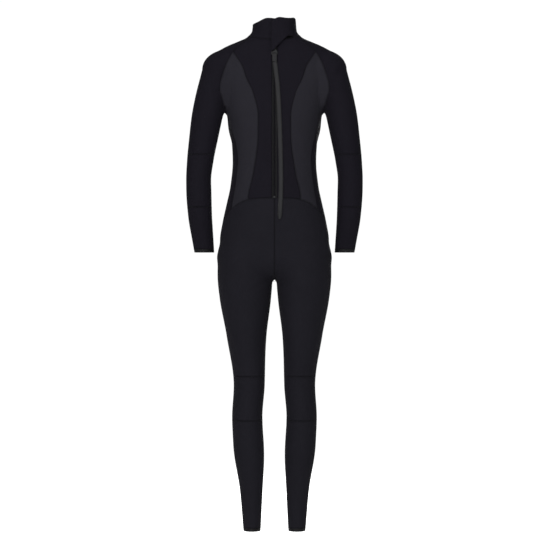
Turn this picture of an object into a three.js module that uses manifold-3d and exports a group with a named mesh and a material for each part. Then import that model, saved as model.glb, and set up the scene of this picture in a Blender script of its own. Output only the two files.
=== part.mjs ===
// A women's full wetsuit with a back zip, shaped as it is when worn: neoprene panels butted edge to
// edge over one smooth body form, a stand-up collar with a hook-and-loop tab, a zip with a slider,
// a puller and a webbing leash, and cuffs at the wrists and ankles.
//
// Millimetres, +Z up. The wearer faces +Y, so the zip is on the -Y side, and +X is the wearer's right.
// Heights are measured from the ankle hems while the suit is built, and the finished group is then
// hung from its natural reference point, the centre of the neckline at the nape.

import Module from "manifold-3d";
import * as THREE from "three";
import { mergeVertices } from "three/addons/utils/BufferGeometryUtils.js";

const wasm = await Module();
wasm.setup();

// ---------------------------------------------------------------- driving dimensions

const INSEAM = 694; // ankle hem to crotch
const NAPE_RISE = 653; // crotch to the collar seam at the nape
const UNDERARM = 390; // armpit to wrist hem
const HIP_GIRTH = 850; // sets every width and depth of the form

const TORSO_THICKNESS = 4;
const LIMB_THICKNESS = 3;
const SEAM_GAP = 0.6; // between two panels that are butted and glued
const HEM_HEIGHT = 9;
const KNEE_PAD_THICKNESS = 1;
const KNEE_PAD_GAP = 0.8;
const KNEE_PAD_MARGIN = 8; // from the knee panel's seams

const HIP_SEAM_RISE = 219; // crotch to the seam over the seat
const HIP_SEAM_DROP = 50; // from the centre back to the side
const CORNER_RISE = 14; // from the armpit to where a side seam meets the sleeve
const COLLAR_HEIGHT = 56;
const COLLAR_THICKNESS = 3;
const TAB_REACH = 9.5; // past the centre back
const TAB_DROP = 34; // how far its tip hangs below the nape
const TAB_RISE = 4; // how far it stands above the collar
const TAB_THICKNESS = 2.6;
const PATCH_WIDTH = 26; // hook and loop
const PATCH_HEIGHT = 34;
const PATCH_THICKNESS = 1.2;
const PATCH_GAP = 0.4;
const PATCH_RISE = 12; // above the collar seam
const PATCH_INSET = 2; // from the collar's end

const ZIP_SLIT = 15; // between the two neoprene edges
const ZIP_CLEARANCE = 0.3;
const TEETH_WIDTH = 7; // both rows together
const TEETH_THICKNESS = 2.8;
const TEETH_SPLIT = 1.4; // between the two rows, where the slider's web runs
const TAPE_WIDTH = 17;
const TAPE_THICKNESS = 1;
const STOP_LENGTH = 5;
const STOP_INSET = 0.5; // from the ends of the tapes
const SLIDER_LENGTH = 17;
const SLIDER_WIDTH = 12;
const SLIDER_PLATE = 1.6;
const SLIDER_WEB = 0.8;
const BAIL_WIDTH = 3;
const BAIL_WIRE = 1.5;
const BAIL_OPENING = 3;
const PULLER_LENGTH = 30;
const PULLER_WIDTH = 17;
const PULLER_NECK = 9;
const PULLER_THICKNESS = 1.6;
const LEASH_WIDTH = 12;
const LEASH_THICKNESS = 1.6;
const LEASH_END = 24;
const LOOP_LENGTH = 18;
const FLAP_WIDTH = 70;
const FLAP_THICKNESS = 2;

// ---------------------------------------------------------------- levels and grading

const BASE_GIRTH = 850; // the tables of the form hold at this hip girth
const BASE_RISE = 653; // and at this rise
const grade = HIP_GIRTH / BASE_GIRTH;
const rise = NAPE_RISE / BASE_RISE;
const crotch = INSEAM;
const hipSeam = crotch + HIP_SEAM_RISE;
const bust = crotch + 421 * rise;
const armpit = crotch + 462 * rise;
const nape = crotch + NAPE_RISE;
const shoulderApex = nape - 33;
const wrist = armpit - UNDERARM;
const elbowTop = armpit - 0.3128 * UNDERARM;
const elbowBottom = armpit - 0.682 * UNDERARM;
const kneeTop = 0.614 * INSEAM;
const kneeBottom = 0.44 * INSEAM;
const degrees = Math.PI / 180;

// ---------------------------------------------------------------- the body form

// Torso: [height above the crotch, half width, front, back]. The back is straight along the zip.
const ZIP_SLOPE = 0.0648; // how far the back leans out for each millimetre down
const SEAT_BACK = -98;
const backLine = (h) => SEAT_BACK - (218 - h) * ZIP_SLOPE;
const TORSO = [
  [41, 148, 74, -100],
  [106, 150, 84, -104],
  [156, 142.5, 90, -102],
  [206, 131.5, 90, backLine(206)],
  [256, 121, 86, backLine(256)],
  [321, 115, 84, backLine(321)],
  [386, 118.5, 90, backLine(386)],
  [436, 126.5, 98, backLine(436)],
  [471, 138, 96, backLine(471)],
  [516, 150, 86, backLine(516)],
  [566, 161, 70, backLine(566)],
  [601, 163, 60, backLine(601)],
  [618, 158, 55, backLine(618)],
  [629, 148, 53, backLine(629)],
  [640, 128, 51, backLine(640)],
  [651, 101, 50, backLine(651)],
  [662, 77, 48, backLine(662)],
  [681, 61, 46, -66],
  [716, 57, 46, -62],
];
const PELVIS_END = 65; // above the crotch
const PELVIS_CAP = 66;

// Leg: [share of the inseam, centre x, half width, front, back].
const LEG = [
  [0, 61.8, 23.5, 28, -37],
  [0.155, 63.7, 31.1, 30, -44],
  [0.345, 71.4, 42.2, 40, -62],
  [0.452, 74.8, 41.9, 46, -61],
  [0.582, 69.6, 42.8, 60, -50],
  [0.772, 76.8, 54.8, 70, -74],
  [0.922, 80.2, 70.7, 74, -88],
  [1, 80.9, 75.4, 71, -95],
  [1.075, 79, 76.5, 66, -101],
];
const LEG_END = 1.075;
const LEG_CAP = 66;

// Arm: [share of the underarm above the armpit, centre x, half width, centre y, half depth].
const ARM = [
  [-1, 193.7, 27, 6, 22],
  [-0.91, 197.7, 29.3, 2, 28],
  [-0.744, 204.6, 33, -9, 37],
  [-0.574, 207.9, 34.5, -17, 39],
  [-0.49, 208.4, 34.2, -20, 40],
  [-0.36, 204, 36.4, -20, 42],
  [-0.2, 195, 39.8, -19, 44],
  [-0.023, 183.5, 43, -18, 46],
  [0.113, 172, 44, -16, 48],
  [0.287, 153, 46, -14, 50],
];
const ARM_END = 0.287;
const ARM_CAP = 46;

const BUST_LOBE = { x: 60, y: 60, width: 60, depth: 52, height: 62 };
const TORSO_SQUARENESS = 2.25;
const LIMB_SQUARENESS = 2.05;
const CROTCH_BLEND = 16;
const ARM_BLEND = 14;
const BUST_BLEND = 36;

// A smooth curve through a table of stations that never overshoots between two of them.
function through(table) {
  const at = table.map((row) => row[0]);
  const columns = table[0].slice(1).map((_, c) => table.map((row) => row[c + 1]));
  const slopes = columns.map((v) => {
    const secant = v.slice(1).map((b, i) => (b - v[i]) / (at[i + 1] - at[i]));
    return v.map((_, i) => {
      if (i === 0) return secant[0];
      if (i === v.length - 1) return secant[i - 1];
      const [a, b] = [secant[i - 1], secant[i]];
      return a * b <= 0 ? 0 : (2 * a * b) / (a + b);
    });
  });
  return (q) => {
    let i = 0;
    while (i < at.length - 2 && q > at[i + 1]) i++;
    const span = at[i + 1] - at[i];
    const t = Math.min(1, Math.max(0, (q - at[i]) / span));
    return columns.map((v, c) => {
      const m = slopes[c];
      const [t2, t3] = [t * t, t * t * t];
      const ends = (2 * t3 - 3 * t2 + 1) * v[i] + (3 * t2 - 2 * t3) * v[i + 1];
      return ends + (t3 - 2 * t2 + t) * span * m[i] + (t3 - t2) * span * m[i + 1];
    });
  };
}

const torsoAt = through(TORSO);
const legAt = through(LEG);
const armAt = through(ARM);

function blend(a, b, width) {
  const h = Math.max(width - Math.abs(a - b), 0) / width;
  return Math.min(a, b) - (h * h * width) / 4;
}

// How far outside one limb a point is: an oval section, closed by a dome past the limb's end.
function outside(dx, dy, beyond, wide, deep, cap, n) {
  let r = (Math.abs(dx / wide) ** n + Math.abs(dy / deep) ** n) ** (1 / n);
  if (beyond > 0) r = Math.hypot(r, beyond / cap);
  return (r - 1) * Math.min(wide, deep);
}

// The form: negative inside, positive outside, about in millimetres.
function form(px, py, pz) {
  const [x, y] = [Math.abs(px) / grade, py / grade];
  const above = (pz - crotch) / rise;
  const [tw, tf, tb] = torsoAt(above);
  const short = PELVIS_END - above;
  const torso = outside(x, y - (tf + tb) / 2, short, tw, (tf - tb) / 2, PELVIS_CAP, TORSO_SQUARENESS);
  const [lx, lw, lf, lb] = legAt(pz / INSEAM);
  const overLeg = pz - LEG_END * INSEAM;
  const leg = outside(x - lx, y - (lf + lb) / 2, overLeg, lw, (lf - lb) / 2, LEG_CAP, LIMB_SQUARENESS);
  const [ax, aw, ay, ad] = armAt((pz - armpit) / UNDERARM);
  const overArm = pz - armpit - ARM_END * UNDERARM;
  const arm = outside(x - ax, y - ay, overArm, aw, ad, ARM_CAP, LIMB_SQUARENESS);
  const b = BUST_LOBE;
  const lobe = (Math.hypot((x - b.x) / b.width, (y - b.y) / b.depth, (pz - bust) / b.height) - 1) * b.depth;
  return grade * blend(blend(blend(torso, lobe, BUST_BLEND), leg, CROTCH_BLEND), arm, ARM_BLEND);
}

function normalAt(p) {
  const e = 0.5;
  return new THREE.Vector3(
    form(p.x + e, p.y, p.z) - form(p.x - e, p.y, p.z),
    form(p.x, p.y + e, p.z) - form(p.x, p.y - e, p.z),
    form(p.x, p.y, p.z + e) - form(p.x, p.y, p.z - e),
  ).normalize();
}

// The first point along a path, point(r), that leaves the form.
function leave(point, step = 2.5, reach = 420) {
  const f = (r) => form(...point(r));
  let far = step;
  while (far < reach && f(far) < 0) far += step;
  let near = far - step;
  for (let i = 0; i < 26; i++) {
    const middle = (near + far) / 2;
    if (f(middle) < 0) near = middle;
    else far = middle;
  }
  return new THREE.Vector3(...point((near + far) / 2));
}

// The value between two others where a test changes from true to false.
function turning(test, yes, no) {
  for (let i = 0; i < 30; i++) {
    const middle = (yes + no) / 2;
    if (test(middle)) yes = middle;
    else no = middle;
  }
  return (yes + no) / 2;
}

// ---------------------------------------------------------------- the hearts that rays start from

const HEART = through([
  // arm, above the armpit: [height above it, x]
  [-20, 182],
  [44, 168],
  [112, 146],
  [150, 118],
  [175, 84],
  [191, 62],
  [204, 50],
]);
const hearts = {
  torso: (z) => {
    const [, front, back] = torsoAt((z - crotch) / rise);
    return [0, (grade * (front + back)) / 2];
  },
  arm: (z) => {
    const [x, , y] = armAt((z - armpit) / UNDERARM);
    const over = z - armpit;
    return [grade * (over > -20 ? HEART(over)[0] : x), grade * y];
  },
  leg: (z) => {
    const [x, , front, back] = legAt(Math.min(z, crotch * LEG_END) / INSEAM);
    return [grade * x, (grade * (front + back)) / 2];
  },
};

function cast(limb, angle, z) {
  const [cx, cy] = hearts[limb](z);
  const [dx, dy] = [Math.cos(angle), Math.sin(angle)];
  return leave((r) => [cx + dx * r, cy + dy * r, z]);
}

function angleOf(limb, p) {
  const [cx, cy] = hearts[limb](p.z);
  return Math.atan2(p.y - cy, p.x - cx);
}

// ---------------------------------------------------------------- seams, on the wearer's right

const steps = (n) => Array.from({ length: n + 1 }, (_, i) => i / n);
const mix = (a, b, t) => a + (b - a) * t;

const ACROSS = 4; // samples over a back or front centre panel
const CONTOUR = 4;
const SIDE = 8;
const UPPER = 3; // along the raglan seam from the neckline to the apex
const LOWER = 8; // and from the apex to the underarm
const FLANK = 7; // along the side seam
const RISE = 7; // along the centre back or front seam of the pelvis
const SHOULDER = 16; // along the neckline over the sleeve
const CONTOUR_FOOT = 4; // how far below the centre back each seam meets the hip seam
const SIDE_FOOT = 26;
const ROUND = 24; // round a forearm, a calf, an elbow or a knee

// The neckline is highest at the sides of the neck.
const neckHeight = (y) => nape + 14 - 0.0056 * (y / grade + 20) ** 2;
const hipHeight = (x) => hipSeam - HIP_SEAM_DROP * (Math.abs(x / grade) / 135) ** 4;

// The point of the form in one direction from the torso's heart, at the height that the seam has there.
function seamPoint(angle, height, z) {
  let p;
  for (let i = 0; i < 24; i++) {
    p = cast("torso", angle, z);
    z = mix(z, height(p), 0.7);
  }
  return p;
}
const neckPoint = (angle) => seamPoint(angle, (p) => neckHeight(p.y), nape);
const hipPoint = (angle) => seamPoint(angle, (p) => hipHeight(p.x), hipSeam - 25);

// Seams that are drawn in the back view, as [height, x]; the front has the same ones.
const raglanX = through([
  [armpit - 30, 137 * grade],
  [armpit, 137 * grade],
  [armpit + 59, 149 * grade],
  [armpit + 115, 135 * grade],
  [shoulderApex, 113 * grade],
  [shoulderApex + 22, 90 * grade],
  [nape + 9, 62 * grade],
  [nape + 40, 30 * grade],
]);
const contourX = through([
  [hipSeam - 40, 70 * grade],
  [hipSeam, 71.5 * grade],
  [hipSeam + 69, 57.5 * grade],
  [hipSeam + 168, 45 * grade],
  [armpit - 20, 44.5 * grade],
  [armpit + 45, 58 * grade],
  [armpit + 84, 76 * grade],
  [shoulderApex - 42, 86.5 * grade],
  [shoulderApex, 113 * grade],
]);
const sideX = through([
  [hipSeam - 50, 121 * grade],
  [hipSeam - 22, 117 * grade],
  [hipSeam + 58, 104 * grade],
  [hipSeam + 107, 100.5 * grade],
  [hipSeam + 150, 106 * grade],
  [hipSeam + 192, 119 * grade],
  [armpit + CORNER_RISE, 136 * grade],
]);

const RAGLAN_HEART = { y: -16, above: 80 }; // the armpit
const PELVIS_HEART = { y: -10, above: -100 }; // the hip seam

// A point of the raglan seam: angle 0 is the underarm, positive angles go up the back.
function raglanPoint(angle) {
  const [cy, cz] = [RAGLAN_HEART.y * grade, armpit + RAGLAN_HEART.above];
  return leave((r) => {
    const z = cz - r * Math.cos(angle);
    return [raglanX(z)[0], cy - r * Math.sin(angle), z];
  });
}

// A point of the seam between the legs: angle 0 is the crotch, positive angles go up the back.
function pelvisPoint(angle) {
  const [cy, cz] = [PELVIS_HEART.y * grade, hipSeam + PELVIS_HEART.above];
  return leave((r) => [0, cy - r * Math.sin(angle), cz - r * Math.cos(angle)]);
}

// The point at a height on a seam that is drawn in the back view, on the back or the front.
function drawnPoint(curve, z, side) {
  const x = curve(z)[0];
  const [, cy] = hearts.torso(z);
  return leave((r) => [x, cy + side * r, z]);
}

const BACK = -1;
const FRONT = 1;

function raglanSeam(side) {
  const turn = -side;
  const neckAngle = turning((a) => {
    const p = raglanPoint(turn * a);
    return p.z < neckHeight(p.y);
  }, 95 * degrees, 178 * degrees);
  const apexAngle = turning((a) => raglanPoint(turn * a).z < shoulderApex, 60 * degrees, neckAngle);
  const cornerAngle = turning((a) => raglanPoint(turn * a).z < armpit + CORNER_RISE, 0, 90 * degrees);
  const along = (from, to, n) => steps(n).map((t) => raglanPoint(turn * mix(from, to, t)));
  return {
    corner: cornerAngle,
    lower: along(cornerAngle, apexAngle, LOWER),
    upper: along(apexAngle, neckAngle, UPPER),
  };
}

const seams = {};
for (const side of [BACK, FRONT]) {
  const raglan = raglanSeam(side);
  const apex = raglan.lower[LOWER];
  const corner = raglan.lower[0];
  const hip = (x) => {
    const angle = turning((a) => hipPoint(a).x < x, side * 90 * degrees, 0);
    return hipPoint(angle);
  };
  const contourFoot = hip(contourX(hipSeam - CONTOUR_FOOT)[0]);
  const sideFoot = hip(sideX(hipSeam - SIDE_FOOT)[0]);
  const flank = steps(FLANK).map((t) => drawnPoint(sideX, mix(sideFoot.z, corner.z, t), side));
  flank[0] = sideFoot;
  flank[FLANK] = corner;
  const inner = steps(FLANK + LOWER).map((t) => drawnPoint(contourX, mix(contourFoot.z, apex.z, t), side));
  inner[0] = contourFoot;
  inner[FLANK + LOWER] = apex;
  seams[side] = { raglan, flank, inner, contourFoot, sideFoot };
}
const corners = [seams[BACK].raglan.corner, -seams[FRONT].raglan.corner];
const underarm = steps(SIDE).map((t) => raglanPoint(mix(...corners, t)));
underarm[0] = seams[BACK].raglan.lower[0];
underarm[SIDE] = seams[FRONT].raglan.lower[0];

function between(from, to, n, point) {
  const [a, b] = [angleOf("torso", from), angleOf("torso", to)];
  const points = steps(n).map((t) => point(mix(a, b, t)));
  points[0] = from;
  points[n] = to;
  return points;
}

// ---------------------------------------------------------------- panels

// Joins grids of points into one sheet without repeated points or collapsed triangles.
function sheetOf(grids) {
  const positions = [];
  const index = new Map();
  const faces = [];
  const idOf = (p) => {
    const key = [p.x, p.y, p.z].map((v) => Math.round(v * 200)).join();
    if (!index.has(key)) {
      index.set(key, positions.length);
      positions.push(p.clone());
    }
    return index.get(key);
  };
  for (const grid of grids) {
    const ids = grid.map((row) => row.map(idOf));
    for (let i = 0; i + 1 < ids.length; i++) {
      for (let j = 0; j + 1 < ids[i].length; j++) {
        const [a, b, c, d] = [ids[i][j], ids[i][j + 1], ids[i + 1][j + 1], ids[i + 1][j]];
        for (const face of [[a, b, c], [a, c, d]]) {
          if (new Set(face).size === 3) faces.push(face);
        }
      }
    }
  }
  return { positions, faces };
}

// The open edges of a sheet, as a map from each edge point to the next one.
function rim(faces) {
  const edges = new Set(faces.flatMap(([a, b, c]) => [`${a},${b}`, `${b},${c}`, `${c},${a}`]));
  const next = new Map();
  for (const edge of edges) {
    const [a, b] = edge.split(",").map(Number);
    if (!edges.has(`${b},${a}`)) next.set(a, b);
  }
  return next;
}

// Draws the edge of a sheet back along its surface, so that a neighbour can be butted to it.
function drawBack({ positions, faces }, distance) {
  const next = rim(faces);
  const before = new Map([...next].map(([a, b]) => [b, a]));
  const moved = positions.map((p) => p.clone());
  for (const [at, after] of next) {
    const p = positions[at];
    const normal = normalAt(p);
    const arrive = p.clone().sub(positions[before.get(at)]).normalize();
    const depart = positions[after].clone().sub(p).normalize();
    const inward = [arrive, depart].map((t) => normal.clone().cross(t).normalize());
    const middle = inward[0].clone().add(inward[1]).normalize();
    moved[at].addScaledVector(middle, distance / Math.max(0.12, middle.dot(inward[0])));
  }
  return { positions: moved, faces };
}

function shell(coordinates, triangles) {
  const geometry = new THREE.BufferGeometry();
  geometry.setAttribute("position", new THREE.Float32BufferAttribute(coordinates, 3));
  return geometry.setIndex(triangles);
}

// Gives a sheet its thickness, inwards from its lift above the form. A level one keeps its heights.
function thicken({ positions, faces }, thickness, lift = 0, level = false) {
  const count = positions.length;
  const normals = positions.map((p) => {
    const n = normalAt(p);
    return level ? n.setZ(0).normalize() : n;
  });
  const lifts = positions.map((p) => (typeof lift === "function" ? lift(p) : lift));
  const outer = positions.map((p, i) => p.clone().addScaledVector(normals[i], lifts[i]));
  const inner = positions.map((p, i) => p.clone().addScaledVector(normals[i], lifts[i] - thickness));
  const triangles = faces.flatMap(([a, b, c]) => [[a, b, c], [c + count, b + count, a + count]]);
  for (const [a, b] of rim(faces)) {
    triangles.push([b, a, a + count], [b, a + count, b + count]);
  }
  return shell([...outer, ...inner].flatMap((p) => [...p]), triangles.flat());
}

// Fills four sides with rays from a limb's heart. The sides run low to high and back to front.
function fill(limb, bottom, top, from, to) {
  const wrap = (p, near) => {
    const a = angleOf(limb, p);
    return a + 2 * Math.PI * Math.round((near - a) / (2 * Math.PI));
  };
  const flat = (points, start) => {
    let last = start;
    return points.map((p) => {
      last = wrap(p, last);
      return [last, p.z];
    });
  };
  const rows = from.length - 1;
  const columns = bottom.length - 1;
  const low = flat(bottom, angleOf(limb, bottom[Math.floor(columns / 2)]));
  const left = flat(from, low[0][0]);
  const right = flat(to, low[columns][0]);
  const high = flat(top, left[rows][0]);
  const grid = from.map((_, i) =>
    bottom.map((_, j) => {
      if (i === 0) return bottom[j];
      if (i === rows) return top[j];
      if (j === 0) return from[i];
      if (j === columns) return to[i];
      const [u, v] = [j / columns, i / rows];
      const [angle, z] = [0, 1].map(
        (k) =>
          mix(left[i][k], right[i][k], u) +
          mix(low[j][k], high[j][k], v) -
          mix(mix(low[0][k], low[columns][k], u), mix(left[rows][k], right[rows][k], u), v),
      );
      return cast(limb, angle, z);
    }),
  );
  return limb === "leg" ? grid.map(keptBeside) : grid;
}

// At the crotch a ray can pass through both legs: those points are drawn between their neighbours.
function keptBeside(row) {
  return row.map((p, j) => {
    if (p.x >= 0) return p;
    const a = row.findLastIndex((q, k) => k < j && q.x >= 0);
    const b = row.findIndex((q, k) => k > j && q.x >= 0);
    return row[a].clone().lerp(row[b], (j - a) / (b - a));
  });
}

const half = SEAM_GAP / 2;
const panel = (grids, thickness, inset = half) => thicken(drawBack(sheetOf(grids), inset), thickness);
const zipEdge = ZIP_SLIT / 2 - half;

function straight(x, from, to, n) {
  return steps(n).map((t) => {
    const z = mix(from, to, t);
    const [, cy] = hearts.torso(z);
    return leave((r) => [x, cy - r, z]);
  });
}

function backCentre() {
  const { raglan, inner, contourFoot } = seams[BACK];
  const rows = inner.length + UPPER - 1;
  const outer = [...inner, ...raglan.upper.slice(1)];
  const foot = leave((r) => [zipEdge, -r, hipHeight(zipEdge)]);
  const head = leave((r) => [zipEdge, -r, neckHeight(-70 * grade)]);
  const bottom = between(foot, contourFoot, ACROSS, hipPoint);
  const top = between(head, outer[rows], ACROSS, neckPoint);
  return [fill("torso", bottom, top, straight(zipEdge, foot.z, head.z, rows), outer)];
}

function contour(side) {
  const { raglan, inner, flank, contourFoot, sideFoot } = seams[side];
  const outer = [...flank, ...raglan.lower.slice(1)];
  const bottom = between(contourFoot, sideFoot, CONTOUR, hipPoint);
  const top = bottom.map(() => inner[inner.length - 1]);
  const grid = fill("torso", bottom, top, inner, outer);
  return [side === BACK ? grid : grid.map((row) => [...row].reverse())];
}

function sidePanel() {
  const bottom = between(seams[BACK].sideFoot, seams[FRONT].sideFoot, SIDE, hipPoint);
  return [fill("torso", bottom, underarm, seams[BACK].flank, seams[FRONT].flank)];
}

const flip = (points) => points.map((p) => new THREE.Vector3(-p.x, p.y, p.z));

function frontCentre() {
  const { raglan, inner, contourFoot } = seams[FRONT];
  const outer = [...inner, ...raglan.upper.slice(1)];
  const across = 2 * ACROSS;
  const low = [contourFoot, flip([contourFoot])[0]];
  const high = [outer[outer.length - 1], flip(outer.slice(-1))[0]];
  const span = (ends, point) => {
    const a = angleOf("torso", ends[0]);
    const points = steps(across).map((t) => point(mix(a, Math.PI - a, t)));
    points[0] = ends[0];
    points[across] = ends[1];
    return points;
  };
  return [fill("torso", span(low, hipPoint), span(high, neckPoint), outer, flip(outer))];
}

// A line up a limb: angle and height both change evenly, but the height can ease out near the top.
function line(limb, foot, head, n, ease = (t) => t) {
  const [a, b] = [foot.angle, head.angle];
  return steps(n).map((t) => cast(limb, mix(a, b, t), mix(foot.z, head.z, ease(t))));
}

const joined = (...runs) => runs.flatMap((run, i) => (i === 0 ? run : run.slice(1)));

// A sleeve is wrapped round the arm from its underarm line, and closes over the shoulder at the neck.
const SLEEVE_LINE = 5;
function sleeve() {
  const [b, f] = [seams[BACK].raglan, seams[FRONT].raglan];
  const middle = SIDE / 2;
  const pit = underarm[middle];
  const pitAngle = angleOf("arm", pit) - 2 * Math.PI;
  const inner = line("arm", { angle: -Math.PI, z: elbowTop }, { angle: pitAngle, z: pit.z }, SLEEVE_LINE);
  inner[SLEEVE_LINE] = pit;
  const neck = between(b.upper[UPPER], f.upper[UPPER], SHOULDER, neckPoint);
  const crest = neck[SHOULDER / 2];
  const backSide = joined(inner, underarm.slice(0, middle + 1).reverse(), b.lower, b.upper);
  const frontSide = joined(inner, underarm.slice(middle), f.lower, f.upper);
  const rows = backSide.length - 1;
  const easing = (t) => Math.sin((t * Math.PI) / 2);
  const head = { angle: angleOf("arm", crest), z: crest.z };
  const over = line("arm", { angle: 0, z: elbowTop }, head, rows, easing);
  over[rows] = crest;
  const [backFoot, frontFoot] = [-Math.PI, 0].map((start) =>
    steps(SHOULDER / 2).map((u) => cast("arm", start + Math.PI * u, elbowTop)),
  );
  backFoot[0] = inner[0];
  frontFoot[0] = backFoot[SHOULDER / 2];
  frontFoot[SHOULDER / 2] = inner[0];
  over[0] = frontFoot[0];
  return [
    fill("arm", backFoot, neck.slice(0, SHOULDER / 2 + 1), backSide, over),
    fill("arm", frontFoot, neck.slice(SHOULDER / 2), over, frontSide),
  ];
}

// Half a thigh with half the seat or belly: the inseam goes on up the centre seam.
const INSEAM_LINE = 8;
function thigh(side) {
  const top = turning((a) => pelvisPoint(-side * a).z < hipSeam, 30 * degrees, 150 * degrees);
  const rising = steps(RISE).map((t) => pelvisPoint(-side * mix(0, top, t)));
  const angle = side * Math.PI;
  const inseam = line("leg", { angle, z: kneeTop }, { angle, z: rising[0].z }, INSEAM_LINE);
  inseam[INSEAM_LINE] = rising[0];
  const inner = joined(inseam, rising);
  const rows = inner.length - 1;
  const { contourFoot, sideFoot } = seams[side];
  const zipFoot = leave((r) => [zipEdge, side * r, hipHeight(zipEdge)]);
  const flankMiddle = between(seams[BACK].sideFoot, seams[FRONT].sideFoot, SIDE, hipPoint)[SIDE / 2];
  const hip = joined(
    [rising[RISE], zipFoot],
    between(zipFoot, contourFoot, ACROSS, hipPoint),
    between(contourFoot, sideFoot, CONTOUR, hipPoint),
    between(sideFoot, flankMiddle, SIDE / 2, hipPoint),
  );
  const flankAngle = angleOf("leg", flankMiddle);
  const outer = line("leg", { angle: 0, z: kneeTop }, { angle: flankAngle, z: flankMiddle.z }, rows);
  outer[rows] = flankMiddle;
  const foot = steps(hip.length - 1).map((u) => cast("leg", side * mix(Math.PI, 0, u), kneeTop));
  foot[0] = inner[0];
  foot[foot.length - 1] = outer[0];
  const grid = fill("leg", foot, hip, inner, outer);
  return [side === BACK ? grid : grid.map((row) => [...row].reverse())];
}

// A row whose last point is its first one.
const closed = (row) => [...row.slice(0, -1), row[0]];

function arcs(limb, low, high, columns, rows, from, to) {
  return steps(rows).map((t) => steps(columns).map((u) => cast(limb, mix(from, to, u), mix(low, high, t))));
}
const ring = (...sizes) => arcs(...sizes, -Math.PI, Math.PI).map(closed);

// ---------------------------------------------------------------- the finished panels

const root = new THREE.Group();
const suit = new THREE.Group();
root.add(suit);

const looks = {
  jersey: { color: 0x1d1c21, roughness: 0.9, metalness: 0 },
  smooth: { color: 0x212126, roughness: 0.75, metalness: 0 },
  charcoal: { color: 0x2c2c31, roughness: 0.9, metalness: 0 },
  rubber: { color: 0x18181a, roughness: 0.6, metalness: 0 },
  tape: { color: 0x151518, roughness: 0.95, metalness: 0 },
  plastic: { color: 0x0f0f11, roughness: 0.4, metalness: 0 },
  metal: { color: 0x3a3b40, roughness: 0.35, metalness: 0.9 },
  webbing: { color: 0x353539, roughness: 0.95, metalness: 0 },
};

function add(name, geometry, look, parent = suit) {
  const mesh = new THREE.Mesh(geometry, new THREE.MeshStandardMaterial(looks[look]));
  mesh.name = name;
  parent.add(mesh);
}

function mirrored(geometry) {
  const copy = geometry.clone().scale(-1, 1, 1);
  const index = [...copy.getIndex().array];
  for (let i = 0; i < index.length; i += 3) [index[i], index[i + 1]] = [index[i + 1], index[i]];
  return copy.setIndex(index);
}

function addPair(name, geometry, look, parent = suit) {
  add(`${name}_right`, geometry, look, parent);
  add(`${name}_left`, mirrored(geometry), look, parent);
}

// Torso
addPair("back_panel", panel(backCentre(), TORSO_THICKNESS), "jersey");
addPair("back_contour", panel(contour(BACK), TORSO_THICKNESS, SEAM_GAP), "charcoal");
addPair("side_panel", panel(sidePanel(), TORSO_THICKNESS), "jersey");
addPair("front_contour", panel(contour(FRONT), TORSO_THICKNESS, SEAM_GAP), "charcoal");
add("front_panel", panel(frontCentre(), TORSO_THICKNESS), "jersey");

// Sleeves and legs
const KNEE_PAD_SPREAD = 62 * degrees; // to each side of the shin
addPair("upper_sleeve", panel(sleeve(), LIMB_THICKNESS, SEAM_GAP), "jersey");
addPair("elbow_panel", panel([ring("arm", elbowBottom, elbowTop, ROUND, 5)], LIMB_THICKNESS), "jersey");
const cuffTop = wrist + HEM_HEIGHT;
addPair("forearm_sleeve", panel([ring("arm", cuffTop, elbowBottom, ROUND, 5)], LIMB_THICKNESS), "jersey");
addPair("thigh_back", panel(thigh(BACK), LIMB_THICKNESS), "smooth");
addPair("thigh_front", panel(thigh(FRONT), LIMB_THICKNESS), "smooth");
addPair("knee_panel", panel([ring("leg", kneeBottom, kneeTop, ROUND, 5)], LIMB_THICKNESS), "smooth");
const ankleTop = HEM_HEIGHT;
addPair("calf_panel", panel([ring("leg", ankleTop, kneeBottom, ROUND, 8)], LIMB_THICKNESS), "smooth");
const [padLow, padHigh] = [kneeBottom + KNEE_PAD_MARGIN, kneeTop - KNEE_PAD_MARGIN];
const padSpan = [Math.PI / 2 - KNEE_PAD_SPREAD, Math.PI / 2 + KNEE_PAD_SPREAD];
const pad = sheetOf([arcs("leg", padLow, padHigh, 10, 5, ...padSpan)]);
addPair("knee_pad", thicken(pad, KNEE_PAD_THICKNESS, KNEE_PAD_GAP + KNEE_PAD_THICKNESS), "rubber");

// Hems have level edges, where a boot or a glove meets them.
function hem(limb, low, high) {
  return thicken(sheetOf([ring(limb, low, high - SEAM_GAP, ROUND, 1)]), LIMB_THICKNESS, 0, true);
}
addPair("wrist_hem", hem("arm", wrist, cuffTop), "rubber");
addPair("ankle_hem", hem("leg", 0, ankleTop), "rubber");

// ---------------------------------------------------------------- collar

// The neckline from a sample of the right back panel's top edge, round the front, to the left end.
function neckline() {
  const right = backCentre()[0].at(-1);
  const over = between(right.at(-1), seams[FRONT].raglan.upper[UPPER], SHOULDER, neckPoint).slice(1);
  const front = frontCentre()[0].at(-1);
  const rightHalf = [...right, ...over];
  return { rightHalf, front: front.slice(1, -1), leftHalf: flip(rightHalf).reverse() };
}

const ROOT_SAMPLE = 3; // of the right back panel's top edge, where the tab is sewn on
const UNDERLAP_SAMPLE = 1; // how far the collar's left end reaches under the tab
const { rightHalf, front, leftHalf } = neckline();
const collarFoot = [
  ...rightHalf.slice(ROOT_SAMPLE),
  ...front,
  ...leftHalf,
  ...rightHalf.slice(0, UNDERLAP_SAMPLE + 1),
];
const collarRows = steps(4).map((t) =>
  collarFoot.map((p) => (t === 0 ? p : cast("torso", angleOf("torso", p), p.z + COLLAR_HEIGHT * t))),
);
const tabRoot = rightHalf[ROOT_SAMPLE];
const underlapEnd = rightHalf[UNDERLAP_SAMPLE];
add("collar_band", panel([collarRows], COLLAR_THICKNESS, SEAM_GAP), "jersey");

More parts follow.
